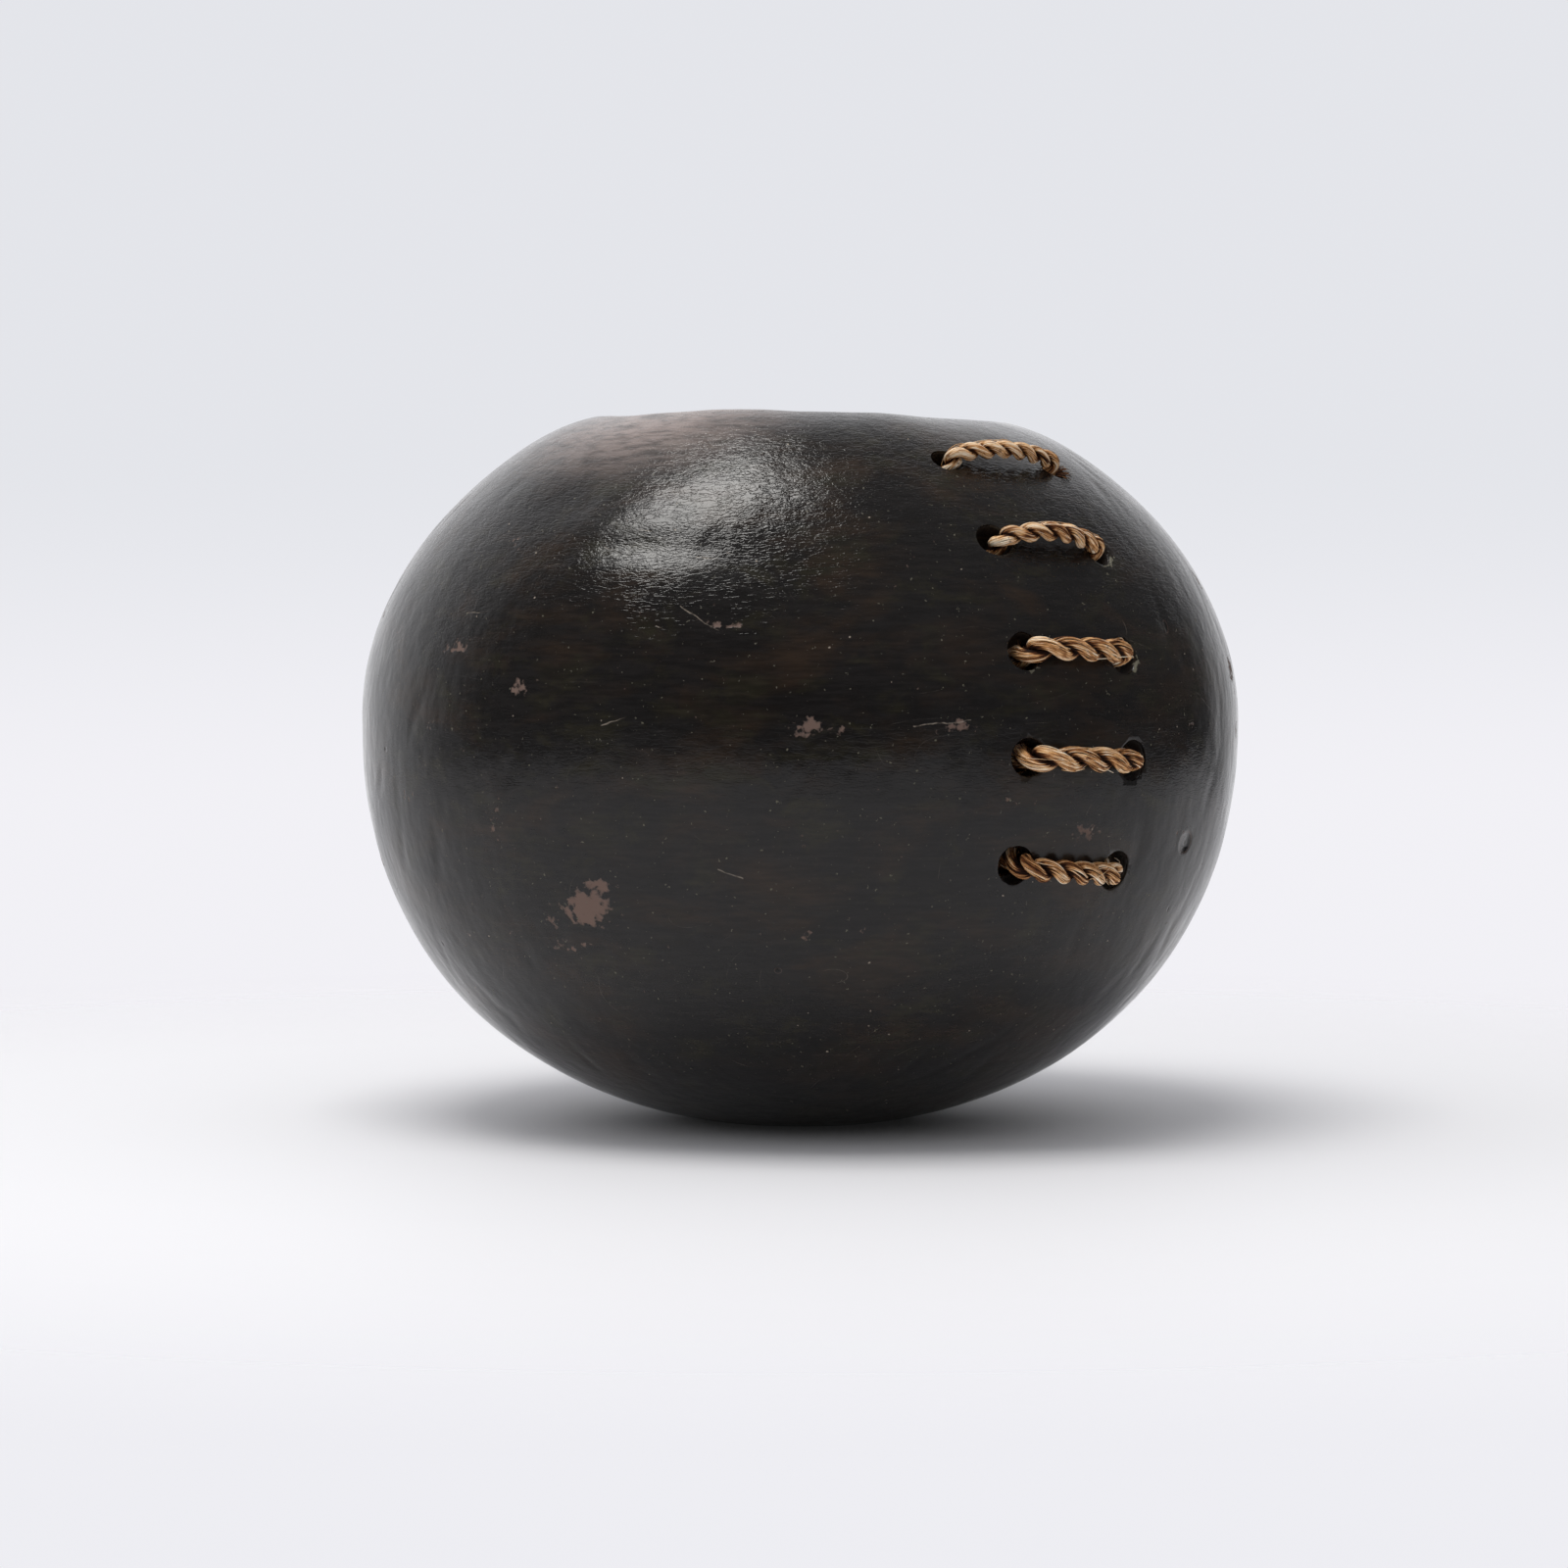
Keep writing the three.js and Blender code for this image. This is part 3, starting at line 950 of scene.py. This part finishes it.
def skinMaterial(groups):
    look = skinFinish
    material = bpy.data.materials.new("blackenedGourdSkin")
    tree = freshTree(material)
    place = objectPlace(tree)

    def grain(stretch, scale, detail, ridges):
        return placeGroup(tree, groups["streak"], {
            "Place": place, "Stretch": (1.0, 1.0, stretch),
            "Scale": scale, "Detail": detail, "Ridges": ridges,
        })["Height"]

    def mottled(stretch, scale, first, second, low, high):
        return placeGroup(tree, groups["mottle"], {
            "Place": place, "Stretch": (1.0, 1.0, stretch), "Scale": scale,
            "First": first, "Second": second, "Low": low, "High": high,
        })

    def spotAt(centre, reach):
        return placeGroup(tree, groups["spot"], {"Place": place, "Centre": centre, "Reach": reach})["Mask"]

    def product(first, second):
        return mathOut(tree, "MULTIPLY", first, second)

    fine = noiseOut(tree, place, 420.0, 3.0)

    # skin tones
    broad = mottled(2.3, 24.0, look["dark"], look["brown"], 0.45, 0.70)["Color"]
    greenish = mottled(1.8, 61.0, broad, look["olive"], 0.50, 0.72)["Color"]
    streaks = grain(7.0, 105.0, 4.0, 0.0)
    tone = scaleOut(tree, greenish, rangeOut(tree, streaks, 0.36, 0.66, *look["stripe"]))
    # a paler bloom on the crown's left, painted brighter to stand in for the room's reflection there
    bloomAndPaintedSheen = spotAt(look["bloomSheenAt"], look["bloomSheenReach"])
    bloomSheenBreak = rangeOut(tree, streaks, 0.30, 0.62, 0.35, 1.0)
    colour = mixColour(tree, product(bloomAndPaintedSheen, bloomSheenBreak), tone, look["bloomAndPaintedSheen"])

    # worn places, flecks and scratches
    worn = mathOut(tree, "ADD", attributeOut(tree, "scuff"), mathOut(tree, "MULTIPLY_ADD", fine, 1.6, -0.72))
    scuffed = rangeOut(tree, worn, 0.42, 0.68)
    colour = mixColour(tree, scuffed, colour, look["scuffTone"])
    flecks = placeGroup(tree, groups["fleck"], {
        "Place": place, "Scale": 330.0, "Size": 0.10, "Share": 0.14, "Drift Scale": 21.0,
    })["Mask"]
    colour = mixColour(tree, flecks, colour, look["fleckTone"])
    lines = placeGroup(tree, groups["hairline"], {
        "Place": place, "Stretch": (1.0, 1.0, 1.7), "Scale": 17.0, "Width": 0.0042, "Share": 0.42,
    })["Mask"]
    cuts = product(lines, 0.35)
    for start, end in scratches:
        half = (Vector(start) + Vector(end)) / 2
        outward = (half - Vector((0.0, 0.0, 0.12))).normalized()
        one = placeGroup(tree, groups["scratch"], {
            "Place": place, "From": start, "To": end, "Outward": outward, "Width": look["scratchWide"],
        })["Mask"]
        cuts = mathOut(tree, "MAXIMUM", cuts, one)
    cuts = product(cuts, rangeOut(tree, fine, 0.38, 0.58, 0.25, 1.0))
    colour = mixColour(tree, product(cuts, 0.7), colour, look["fleckTone"])

    # pits, with a pale worn edge and painted shade darkening their middle
    sunk = 0.0
    for azimuth, z, wide, tall, deep in pits:
        centre = skinAt(math.radians(azimuth), z)[0] * mm
        pit = spotAt(centre.tolist(), (wide * mm, wide * mm, tall * mm))
        rim = product(rangeOut(tree, pit, 0.0, 0.22), rangeOut(tree, pit, 0.5, 0.22))
        colour = mixColour(tree, product(rim, 0.35), colour, look["scuffTone"])
        colour = mixColour(tree, product(pit, 0.6), colour, look["pitShadeTone"])
        sunk = mathOut(tree, "MULTIPLY_ADD", pit, -deep * mm, sunk)

    # chipped rims and the bare wall
    crumbs = mathOut(tree, "MULTIPLY_ADD", noiseOut(tree, place, 780.0, 3.0), 3.2, -1.75)
    chipped = rangeOut(tree, mathOut(tree, "ADD", attributeOut(tree, "chip"), crumbs), 0.42, 0.75)
    colour = mixColour(tree, chipped, colour, look["chipTone"])
    below = attributeOut(tree, "below")
    wall = mottled(0.6, 130.0, look["rawTone"], look["rawPale"], 0.40, 0.75)["Color"]
    inner = rangeOut(tree, below, gourd["wall"] - 1.6, gourd["wall"] - 0.4)
    wall = mixColour(tree, inner, look["boreTone"], wall)
    raw = rangeOut(tree, mathOut(tree, "MULTIPLY_ADD", fine, 0.5, below), *look["boreDeep"])
    rawSkin = product(raw, mathOut(tree, "MULTIPLY_ADD", chipped, -0.8, 1.0))
    colour = mixColour(tree, rawSkin, colour, wall)

    # gloss
    sheen = mottled(1.6, 46.0, (0.0, 0.0, 0.0), (1.0, 1.0, 1.0), 0.30, 0.72)["Mask"]
    rough = rangeOut(tree, sheen, 0.0, 1.0, *look["gloss"], smooth=False)
    rough = mathOut(tree, "MULTIPLY_ADD", bloomAndPaintedSheen, look["bloomSheenDull"], rough)
    dullings = (
        (scuffed, look["scuffRough"]), (flecks, look["fleckRough"]),
        (chipped, look["chipRough"]), (rawSkin, look["rawRough"]),
    )
    for mask, value in dullings:
        rough = mathOut(tree, "MULTIPLY_ADD", mathOut(tree, "SUBTRACT", value, rough), mask, rough)

    # relief finer than the mesh: first what fades downwards, then what is everywhere
    tall = addNode(tree, "SeparateXYZ", {0: place}).outputs["Z"]
    tall = mathOut(tree, "MULTIPLY_ADD", sheen, -0.03, tall)
    crinkled = rangeOut(tree, tall, *look["smoothBelow"], look["smoothLeft"], 1.0)
    height = product(grain(4.4, 190.0, 2.0, 0.7), look["wrinkle"])
    height = mathOut(tree, "MULTIPLY_ADD", grain(1.4, 560.0, 1.0, 0.7), look["crease"], height)
    height = mathOut(tree, "MULTIPLY_ADD", noiseOut(tree, place, 1050.0, 2.0), look["grit"], height)
    height = product(height, crinkled)
    layers = (
        (grain(0.62, 170.0, 1.5, 0.0), look["dent"]),
        (cuts, -look["scratchDeep"]),
        (scuffed, -look["scuffDeep"]),
        (product(grain(0.35, 700.0, 3.0, 0.3), rawSkin), look["rawDeep"]),
        (sunk, 1.0),
    )
    for layer, tallness in layers:
        height = mathOut(tree, "MULTIPLY_ADD", layer, tallness, height)
    bump = addNode(tree, "Bump", {"Height": height, "Strength": 1.0, "Distance": 1.0}).outputs[0]
    skin = addNode(tree, "BsdfPrincipled", {
        "Base Color": colour, "Roughness": rough, "Normal": bump, "Specular IOR Level": look["shine"],
    })
    addNode(tree, "OutputMaterial", {"Surface": skin.outputs[0]})
    return material


# Two-ply cord laid from plant fibre. Sizes are shares of the cord's radius, or millimetres.
cord = {
    "gap": 0.35,  # from the cord to the edge that it bends over
    "nip": 0.20,  # how much closer the plies lie where the cord goes in on the right
    "knotLift": -14.2,
    "plyOffset": 0.49,
    "plyDeep": 0.54,  # each ply is squeezed flat against the other
    "plyWide": 0.64,
    "core": (0.82, 0.86),  # the dark middle of a ply, painted dark as the shade between its strands, as shares of its depth and width
    "coreShadeTone": -0.7,
    "strands": 26,
    "strandWide": (0.26, 0.42),
    "strandThick": (0.15, 0.24),
    "strandSides": 6,
    "strandTones": 0.19,
    "plyGapShade": 0.8,  # painted shade between the plies
    "fibreTurn": -0.1,  # how far a ply's own fibre turns for one turn of the lay
    "step": 0.9,
    "fray": 7.0,
    "strays": 4,
    "seed": 77,
}


def tieFrame(tie):
    return float(np.linalg.norm(skinUnder(tie["right"])[0] - skinUnder(tie["left"])[0]))


# A point near a tie: so far along from its left hole, lifted off the skin, moved uphill.
def besideTie(tie, along, lift, uphillBy=0.0):
    share = along / tieFrame(tie)
    azimuth, z = (tie["left"][i] + (tie["right"][i] - tie["left"][i]) * share for i in range(2))
    point, outward, _, uphill = skinAt(math.radians(azimuth), z)
    return point + outward * lift + uphill * uphillBy


# Half of the reef knot, in cord thicknesses: along, uphill and out from the knot's middle.
reefHalf = [
    (-1.42, 0.52, -0.50), (-0.75, 0.66, 0.0), (0.0, 0.92, 0.48), (0.82, 1.12, 0.05), (1.36, 0.66, -0.46),
    (1.52, 0.0, -0.52), (1.36, -0.66, -0.46), (0.82, -1.12, 0.05), (0.0, -0.92, 0.48), (-0.75, -0.66, 0.0),
    (-1.42, -0.58, -0.50), (-2.0, -0.85, -0.15), (-2.45, -1.45, 0.0), (-2.62, -2.05, 0.05),
]


# The cord's middle line from one knot tail, out of its hole, over the skin and back to the other tail.
def cordRoute(tie):
    length, reach, thick = tieFrame(tie), tie["cordRadius"] + cord["gap"], 2 * tie["cordRadius"]

    def half(side):
        flip = 1 if side == "left" else -1
        radius = tie[side][2]

        def put(along, lift, uphillBy=0.0):
            return besideTie(tie, along if flip > 0 else length - along, lift, uphillBy)

        points = []
        for x, y, z in reversed(reefHalf):
            lift = cord["knotLift"] + z * thick * flip * 0.9
            points.append(put(length / 2 + x * thick * 0.93, lift, y * thick * 0.93))
        for edge, way, turns in ((-gourd["wall"], -1, (50, 0)), (0.0, 1, (5, 50, 90))):
            for turn in turns:
                swing = math.radians(turn)
                points.append(put(radius - reach * math.cos(swing), edge + way * reach * math.sin(swing)))
        return points

    over = []
    for share in (0.36, 0.5, 0.64):
        arch = tie["arch"] * (1 if share == 0.5 else 0.86)
        over.append(besideTie(tie, length * share, reach + arch, tie["uphill"]))
    return np.array(half("left") + over + half("right")[::-1])


# A smooth curve through points, as even steps.
def smoothThrough(points, step):
    knots = np.concatenate([[0], np.cumsum(np.linalg.norm(np.diff(points, axis=0), axis=1) ** 0.5)])
    padded = np.vstack([2 * points[0] - points[1], points, 2 * points[-1] - points[-2]])
    knots = np.concatenate([[knots[0] - (knots[1] - knots[0])], knots, [2 * knots[-1] - knots[-2]]])
    fine = []
    for i in range(1, len(padded) - 2):
        t0, t1, t2, t3 = knots[i - 1:i + 3]
        p0, p1, p2, p3 = padded[i - 1:i + 3]
        t = np.linspace(t1, t2, 24, endpoint=False)[:, None]
        a1 = (t1 - t) / (t1 - t0) * p0 + (t - t0) / (t1 - t0) * p1
        a2 = (t2 - t) / (t2 - t1) * p1 + (t - t1) / (t2 - t1) * p2
        a3 = (t3 - t) / (t3 - t2) * p2 + (t - t2) / (t3 - t2) * p3
        b1 = (t2 - t) / (t2 - t0) * a1 + (t - t0) / (t2 - t0) * a2
        b2 = (t3 - t) / (t3 - t1) * a2 + (t - t1) / (t3 - t1) * a3
        fine.append((t2 - t) / (t2 - t1) * b1 + (t - t1) / (t2 - t1) * b2)
    fine = np.vstack([*fine, points[-1:]])
    length = np.concatenate([[0], np.cumsum(np.linalg.norm(np.diff(fine, axis=0), axis=1))])
    at = np.linspace(0, length[-1], int(length[-1] / step) + 1)
    return np.stack([np.interp(at, length, fine[:, k]) for k in range(3)], -1), at


# Directions across the curve that don't spin about it, set square to the skin at its middle.
def steadyFrames(path, middle, outward):
    along = np.gradient(path, axis=0)
    along /= np.linalg.norm(along, axis=1)[:, None]
    out = np.zeros_like(path)
    first = outward - along[middle] * (outward @ along[middle])
    out[middle] = first / np.linalg.norm(first)
    for order in (range(middle + 1, len(path)), range(middle - 1, -1, -1)):
        before = middle
        for i in order:
            turned = out[before] - along[i] * (out[before] @ along[i])
            out[i] = turned / np.linalg.norm(turned)
            before = i
    return along, out, np.cross(along, out)


def tube(centre, wide, thick, sides, start):
    turn = np.linspace(0, 2 * math.pi, sides, endpoint=False)
    rings = (
        centre[:, None, :]
        + np.cos(turn)[None, :, None] * wide[:, None, :]
        + np.sin(turn)[None, :, None] * thick[:, None, :]
    )
    last = start + (len(centre) - 1) * sides
    caps = [tuple(start + i for i in reversed(range(sides))), tuple(last + i for i in range(sides))]
    return rings.reshape(-1, 3), ringFaces(len(centre), sides, start) + caps


def wander(rng, at, size, every):
    knots = np.arange(0, at[-1] + 2 * every, every)
    return np.interp(at, knots, rng.normal(0, size, len(knots)))


class CordMesh:
    def __init__(self):
        self.verts, self.faces, self.tone, self.fibre, self.count = [], [], [], [], 0

    def add(self, centre, wide, thick, sides, tone, at, seed):
        verts, faces = tube(centre, wide, thick, sides, self.count)
        turn = np.tile(np.arange(sides) / sides, len(centre))
        self.verts.append(verts)
        self.faces += faces
        self.count += len(verts)
        self.tone.append(np.repeat(tone + at * 0, sides))
        folded = np.abs(turn * 2 - 1) * 1.2
        self.fibre.append(np.stack([folded, np.repeat(at, sides), turn * 0 + seed * 7.3], -1))

    def build(self, name):
        mesh = newMesh(name, np.concatenate(self.verts), self.faces)
        addAttribute(mesh, "tone", np.concatenate(self.tone))
        layer = mesh.attributes.new("fibre", "FLOAT_VECTOR", "POINT")
        layer.data.foreach_set("vector", np.concatenate(self.fibre).astype(np.float32).ravel())
        mesh.shade_smooth()
        return mesh


def makeCord(number, tie, material):
    rng = np.random.default_rng(cord["seed"] + number)
    path, at = smoothThrough(cordRoute(tie), cord["step"])
    length, radius = tieFrame(tie), tie["cordRadius"]
    crest = besideTie(tie, length / 2, radius + cord["gap"] + tie["arch"], tie["uphill"])
    middle = int(np.argmin(np.linalg.norm(path - crest, axis=1)))
    outward = crest - besideTie(tie, length / 2, 0.0, tie["uphill"])
    along, out, side = steadyFrames(path, middle, outward)
    fromCrest = at - at[middle]
    lay = 2 * math.pi * (fromCrest / (2 * tie["lobe"]) + tie["phase"])
    ends = np.minimum(at, at[-1] - at)
    leftEnd = np.exp(-((fromCrest + length / 2 - 1.5) / 4.5) ** 2)
    rightEnd = np.exp(-((fromCrest - length / 2 + 0.5) / 4.5) ** 2)
    opened = 1 + tie["spread"] * leftEnd - cord["nip"] * rightEnd
    body = CordMesh()
    shown = np.clip(fromCrest / length + 0.5, 0, 1)
    blendTone = tie["tones"][0] + (tie["tones"][1] - tie["tones"][0]) * shown
    for ply in range(2):
        swing = lay + math.pi * ply
        away = np.cos(swing)[:, None] * out + np.sin(swing)[:, None] * side
        around = np.cross(along, away)
        plyAt = path + away * (cord["plyOffset"] * radius * opened)[:, None]
        deep, wide = cord["plyDeep"] * radius, cord["plyWide"] * radius
        plyTone = blendTone + (0.05 if ply else -0.05) + wander(rng, at, 0.07, 9.0)
        coreDeep, coreWide = away * deep * cord["core"][0], around * wide * cord["core"][1]
        # the ply's core, painted dark to stand for the shade that shows between the strands
        body.add(plyAt, coreDeep, coreWide, 12, plyTone + cord["coreShadeTone"], at, rng.integers(1000))
        for strand in range(cord["strands"]):
            base = 2 * math.pi * (strand + rng.uniform(-0.3, 0.3)) / cord["strands"]
            turn = base + (cord["fibreTurn"] - 1) * lay + wander(rng, at, 0.12, 7.0)
            spoke = (np.cos(turn) / deep)[:, None] * away + (np.sin(turn) / wide)[:, None] * around
            spoke /= np.linalg.norm(spoke, axis=1)[:, None]
            across = np.cross(along, spoke)
            broad = rng.uniform(*cord["strandWide"]) * (1 + wander(rng, at, 0.10, 5.0))
            thick = rng.uniform(*cord["strandThick"]) * np.ones(len(path))
            loose = np.clip(1 - ends / cord["fray"], 0, 1) ** 2
            surface = np.cos(turn)[:, None] * deep * away + np.sin(turn)[:, None] * wide * around
            reach = wander(rng, at, 0.035, 5.0) - thick * 0.6 + loose * rng.uniform(0.3, 2.6)
            # strands on the side that faces the other ply are painted darker, as shade between the plies
            plyGapShade = cord["plyGapShade"] * smoothStep(-np.cos(turn), 0.1, 0.75)
            tone = plyTone + rng.normal(0, cord["strandTones"]) + wander(rng, at, 0.06, 6.0) - plyGapShade
            taper = np.clip(ends / rng.uniform(0.5, 3.5), 0.12, 1)
            body.add(
                plyAt + surface + spoke * reach[:, None], across * (broad * taper)[:, None],
                spoke * (thick * taper)[:, None], cord["strandSides"], tone, at, rng.integers(1000),
            )
    addStrays(body, rng, tie, path, at, out, side, middle, length)
    if "tuft" in tie:
        addTuft(body, rng, tie)
    piece = newObject(f"twisted_cord_{number}", body.build(f"twistedCord{number}"))
    piece.data.materials.append(material)
    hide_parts(f"cord_tie_{number}")
    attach(piece, "root")
    print(f"cord {number} made: {at[-1]:.0f} mm long, {len(piece.data.polygons)} faces")


# Loose fibres that stand off the cord: pulled loops and broken ends.
def addStrays(body, rng, tie, path, at, out, side, middle, length):
    for _ in range(cord["strays"]):
        centre = middle + int(rng.uniform(-0.48, 0.48) * length / cord["step"])
        span = int(rng.uniform(4, 11))
        steps = np.arange(max(centre - span, 0), min(centre + span, len(path) - 1))
        share = np.linspace(0, 1, len(steps))
        swing = rng.uniform(-1.9, 1.9) + share * rng.uniform(-1.2, 1.2)
        spoke = np.cos(swing)[:, None] * out[steps] + np.sin(swing)[:, None] * side[steps]
        loop = np.sin(share * math.pi) if rng.random() < 0.6 else share**1.5
        reach = tie["cordRadius"] * 0.93 + loop * rng.uniform(0.2, 0.9)
        hair = rng.uniform(0.07, 0.13) * np.ones(len(steps))
        around = np.cross(np.gradient(path[steps], axis=0) / cord["step"], spoke)
        body.add(
            path[steps] + spoke * reach[:, None], around * hair[:, None], spoke * hair[:, None],
            5, rng.uniform(0.7, 1.0), at[steps], rng.integers(1000),
        )


# Dark broken fibre packed into the hole beside the cord, fanning out over its rim.
def addTuft(body, rng, tie):
    length, radius = tieFrame(tie), tie["right"][2]
    for _ in range(tie["tuft"]):
        swing = rng.uniform(-1.5, 1.1)
        share = np.linspace(0, 1, 7)
        reach = radius * (0.15 + rng.uniform(0.85, 1.25) * share**1.3)
        lift = -3.5 + (4.2 + rng.uniform(-0.6, 0.5)) * np.sin(share * rng.uniform(1.25, 1.75))
        points = np.array([
            besideTie(tie, length + reach[i] * math.cos(swing), lift[i], reach[i] * math.sin(swing))
            for i in range(len(share))
        ])
        ahead = np.gradient(points, axis=0)
        across = np.cross(ahead, np.array([0.3, -0.5, 0.8]))
        across /= np.linalg.norm(across, axis=1)[:, None]
        up = np.cross(across, ahead)
        up /= np.linalg.norm(up, axis=1)[:, None]
        hair = rng.uniform(0.12, 0.24) * (1 - 0.6 * share)
        tone = rng.uniform(0.0, 0.26)
        body.add(points, across * hair[:, None], up * hair[:, None], 5, tone, share * 6, rng.integers(1000))


cordFinish = {
    "tones": [
        (0.0, (0.018, 0.006, 0.003)),
        (0.32, (0.190, 0.064, 0.022)),
        (0.55, (0.610, 0.290, 0.105)),
        (0.77, (0.880, 0.560, 0.265)),
        (1.0, (0.970, 0.860, 0.690)),
    ],
    "streakTones": 2.5,
    "patchTones": 0.16,
    "stain": (0.15, 0.06, 0.035),
    "rough": (0.55, 0.85),
    "shine": 0.14,
    "grain": 0.00009,
}


def cordMaterial(groups):
    look = cordFinish
    material = bpy.data.materials.new("laidPlantFibre")
    tree = freshTree(material)
    place = objectPlace(tree)
    streaks = placeGroup(tree, groups["streak"], {
        "Place": attributeOut(tree, "fibre", "Vector"), "Stretch": (1.0, 0.07, 1.0),
        "Scale": 4.2, "Detail": 3.0, "Ridges": 0.0,
    })["Height"]
    patches = placeGroup(tree, groups["mottle"], {
        "Place": place, "Scale": 210.0, "First": (0.0, 0.0, 0.0), "Second": (1.0, 1.0, 1.0),
        "Low": 0.36, "High": 0.66,
    })["Mask"]
    tone = attributeOut(tree, "tone")
    for mask, spread in ((streaks, look["streakTones"]), (patches, look["patchTones"])):
        tone = mathOut(tree, "ADD", tone, mathOut(tree, "MULTIPLY_ADD", mask, spread, -spread / 2))
    ramp = addNode(tree, "ValToRGB", {"Fac": tone})
    points = ramp.color_ramp.elements
    for position, _ in look["tones"][1:-1]:
        points.new(position)
    for point, (position, colour) in zip(points, look["tones"]):
        point.position, point.color = position, (*colour, 1.0)
    stains = placeGroup(tree, groups["fleck"], {
        "Place": place, "Scale": 620.0, "Size": 0.34, "Share": 0.20, "Drift Scale": 90.0,
    })["Mask"]
    colour = mixColour(tree, mathOut(tree, "MULTIPLY", stains, 0.6), ramp.outputs[0], look["stain"])
    rough = rangeOut(tree, streaks, 0.3, 0.7, *look["rough"], smooth=False)
    height = mathOut(tree, "MULTIPLY", streaks, look["grain"])
    bump = addNode(tree, "Bump", {"Height": height, "Strength": 1.0, "Distance": 1.0}).outputs[0]
    fibres = addNode(tree, "BsdfPrincipled", {
        "Base Color": colour, "Roughness": rough, "Normal": bump, "Specular IOR Level": look["shine"],
    })
    addNode(tree, "OutputMaterial", {"Surface": fibres.outputs[0]})
    return material


makeCamera()
makeLight(softbox).visible_diffuse = False  # for the gloss alone
makeLight(fill).visible_glossy = False
makeFloor()
makeRoom()
bpy.context.scene.view_settings.view_transform = "Standard"
print("studio ready")
groups = {
    "streak": streakGroup(), "fleck": fleckGroup(), "mottle": mottleGroup(),
    "hairline": hairlineGroup(), "spot": spotGroup(), "scratch": scratchGroup(),
}
makeGourd(skinMaterial(groups))
plantFibre = cordMaterial(groups)
for number, tie in enumerate(ties, start=1):
    makeCord(number, tie, plantFibre)
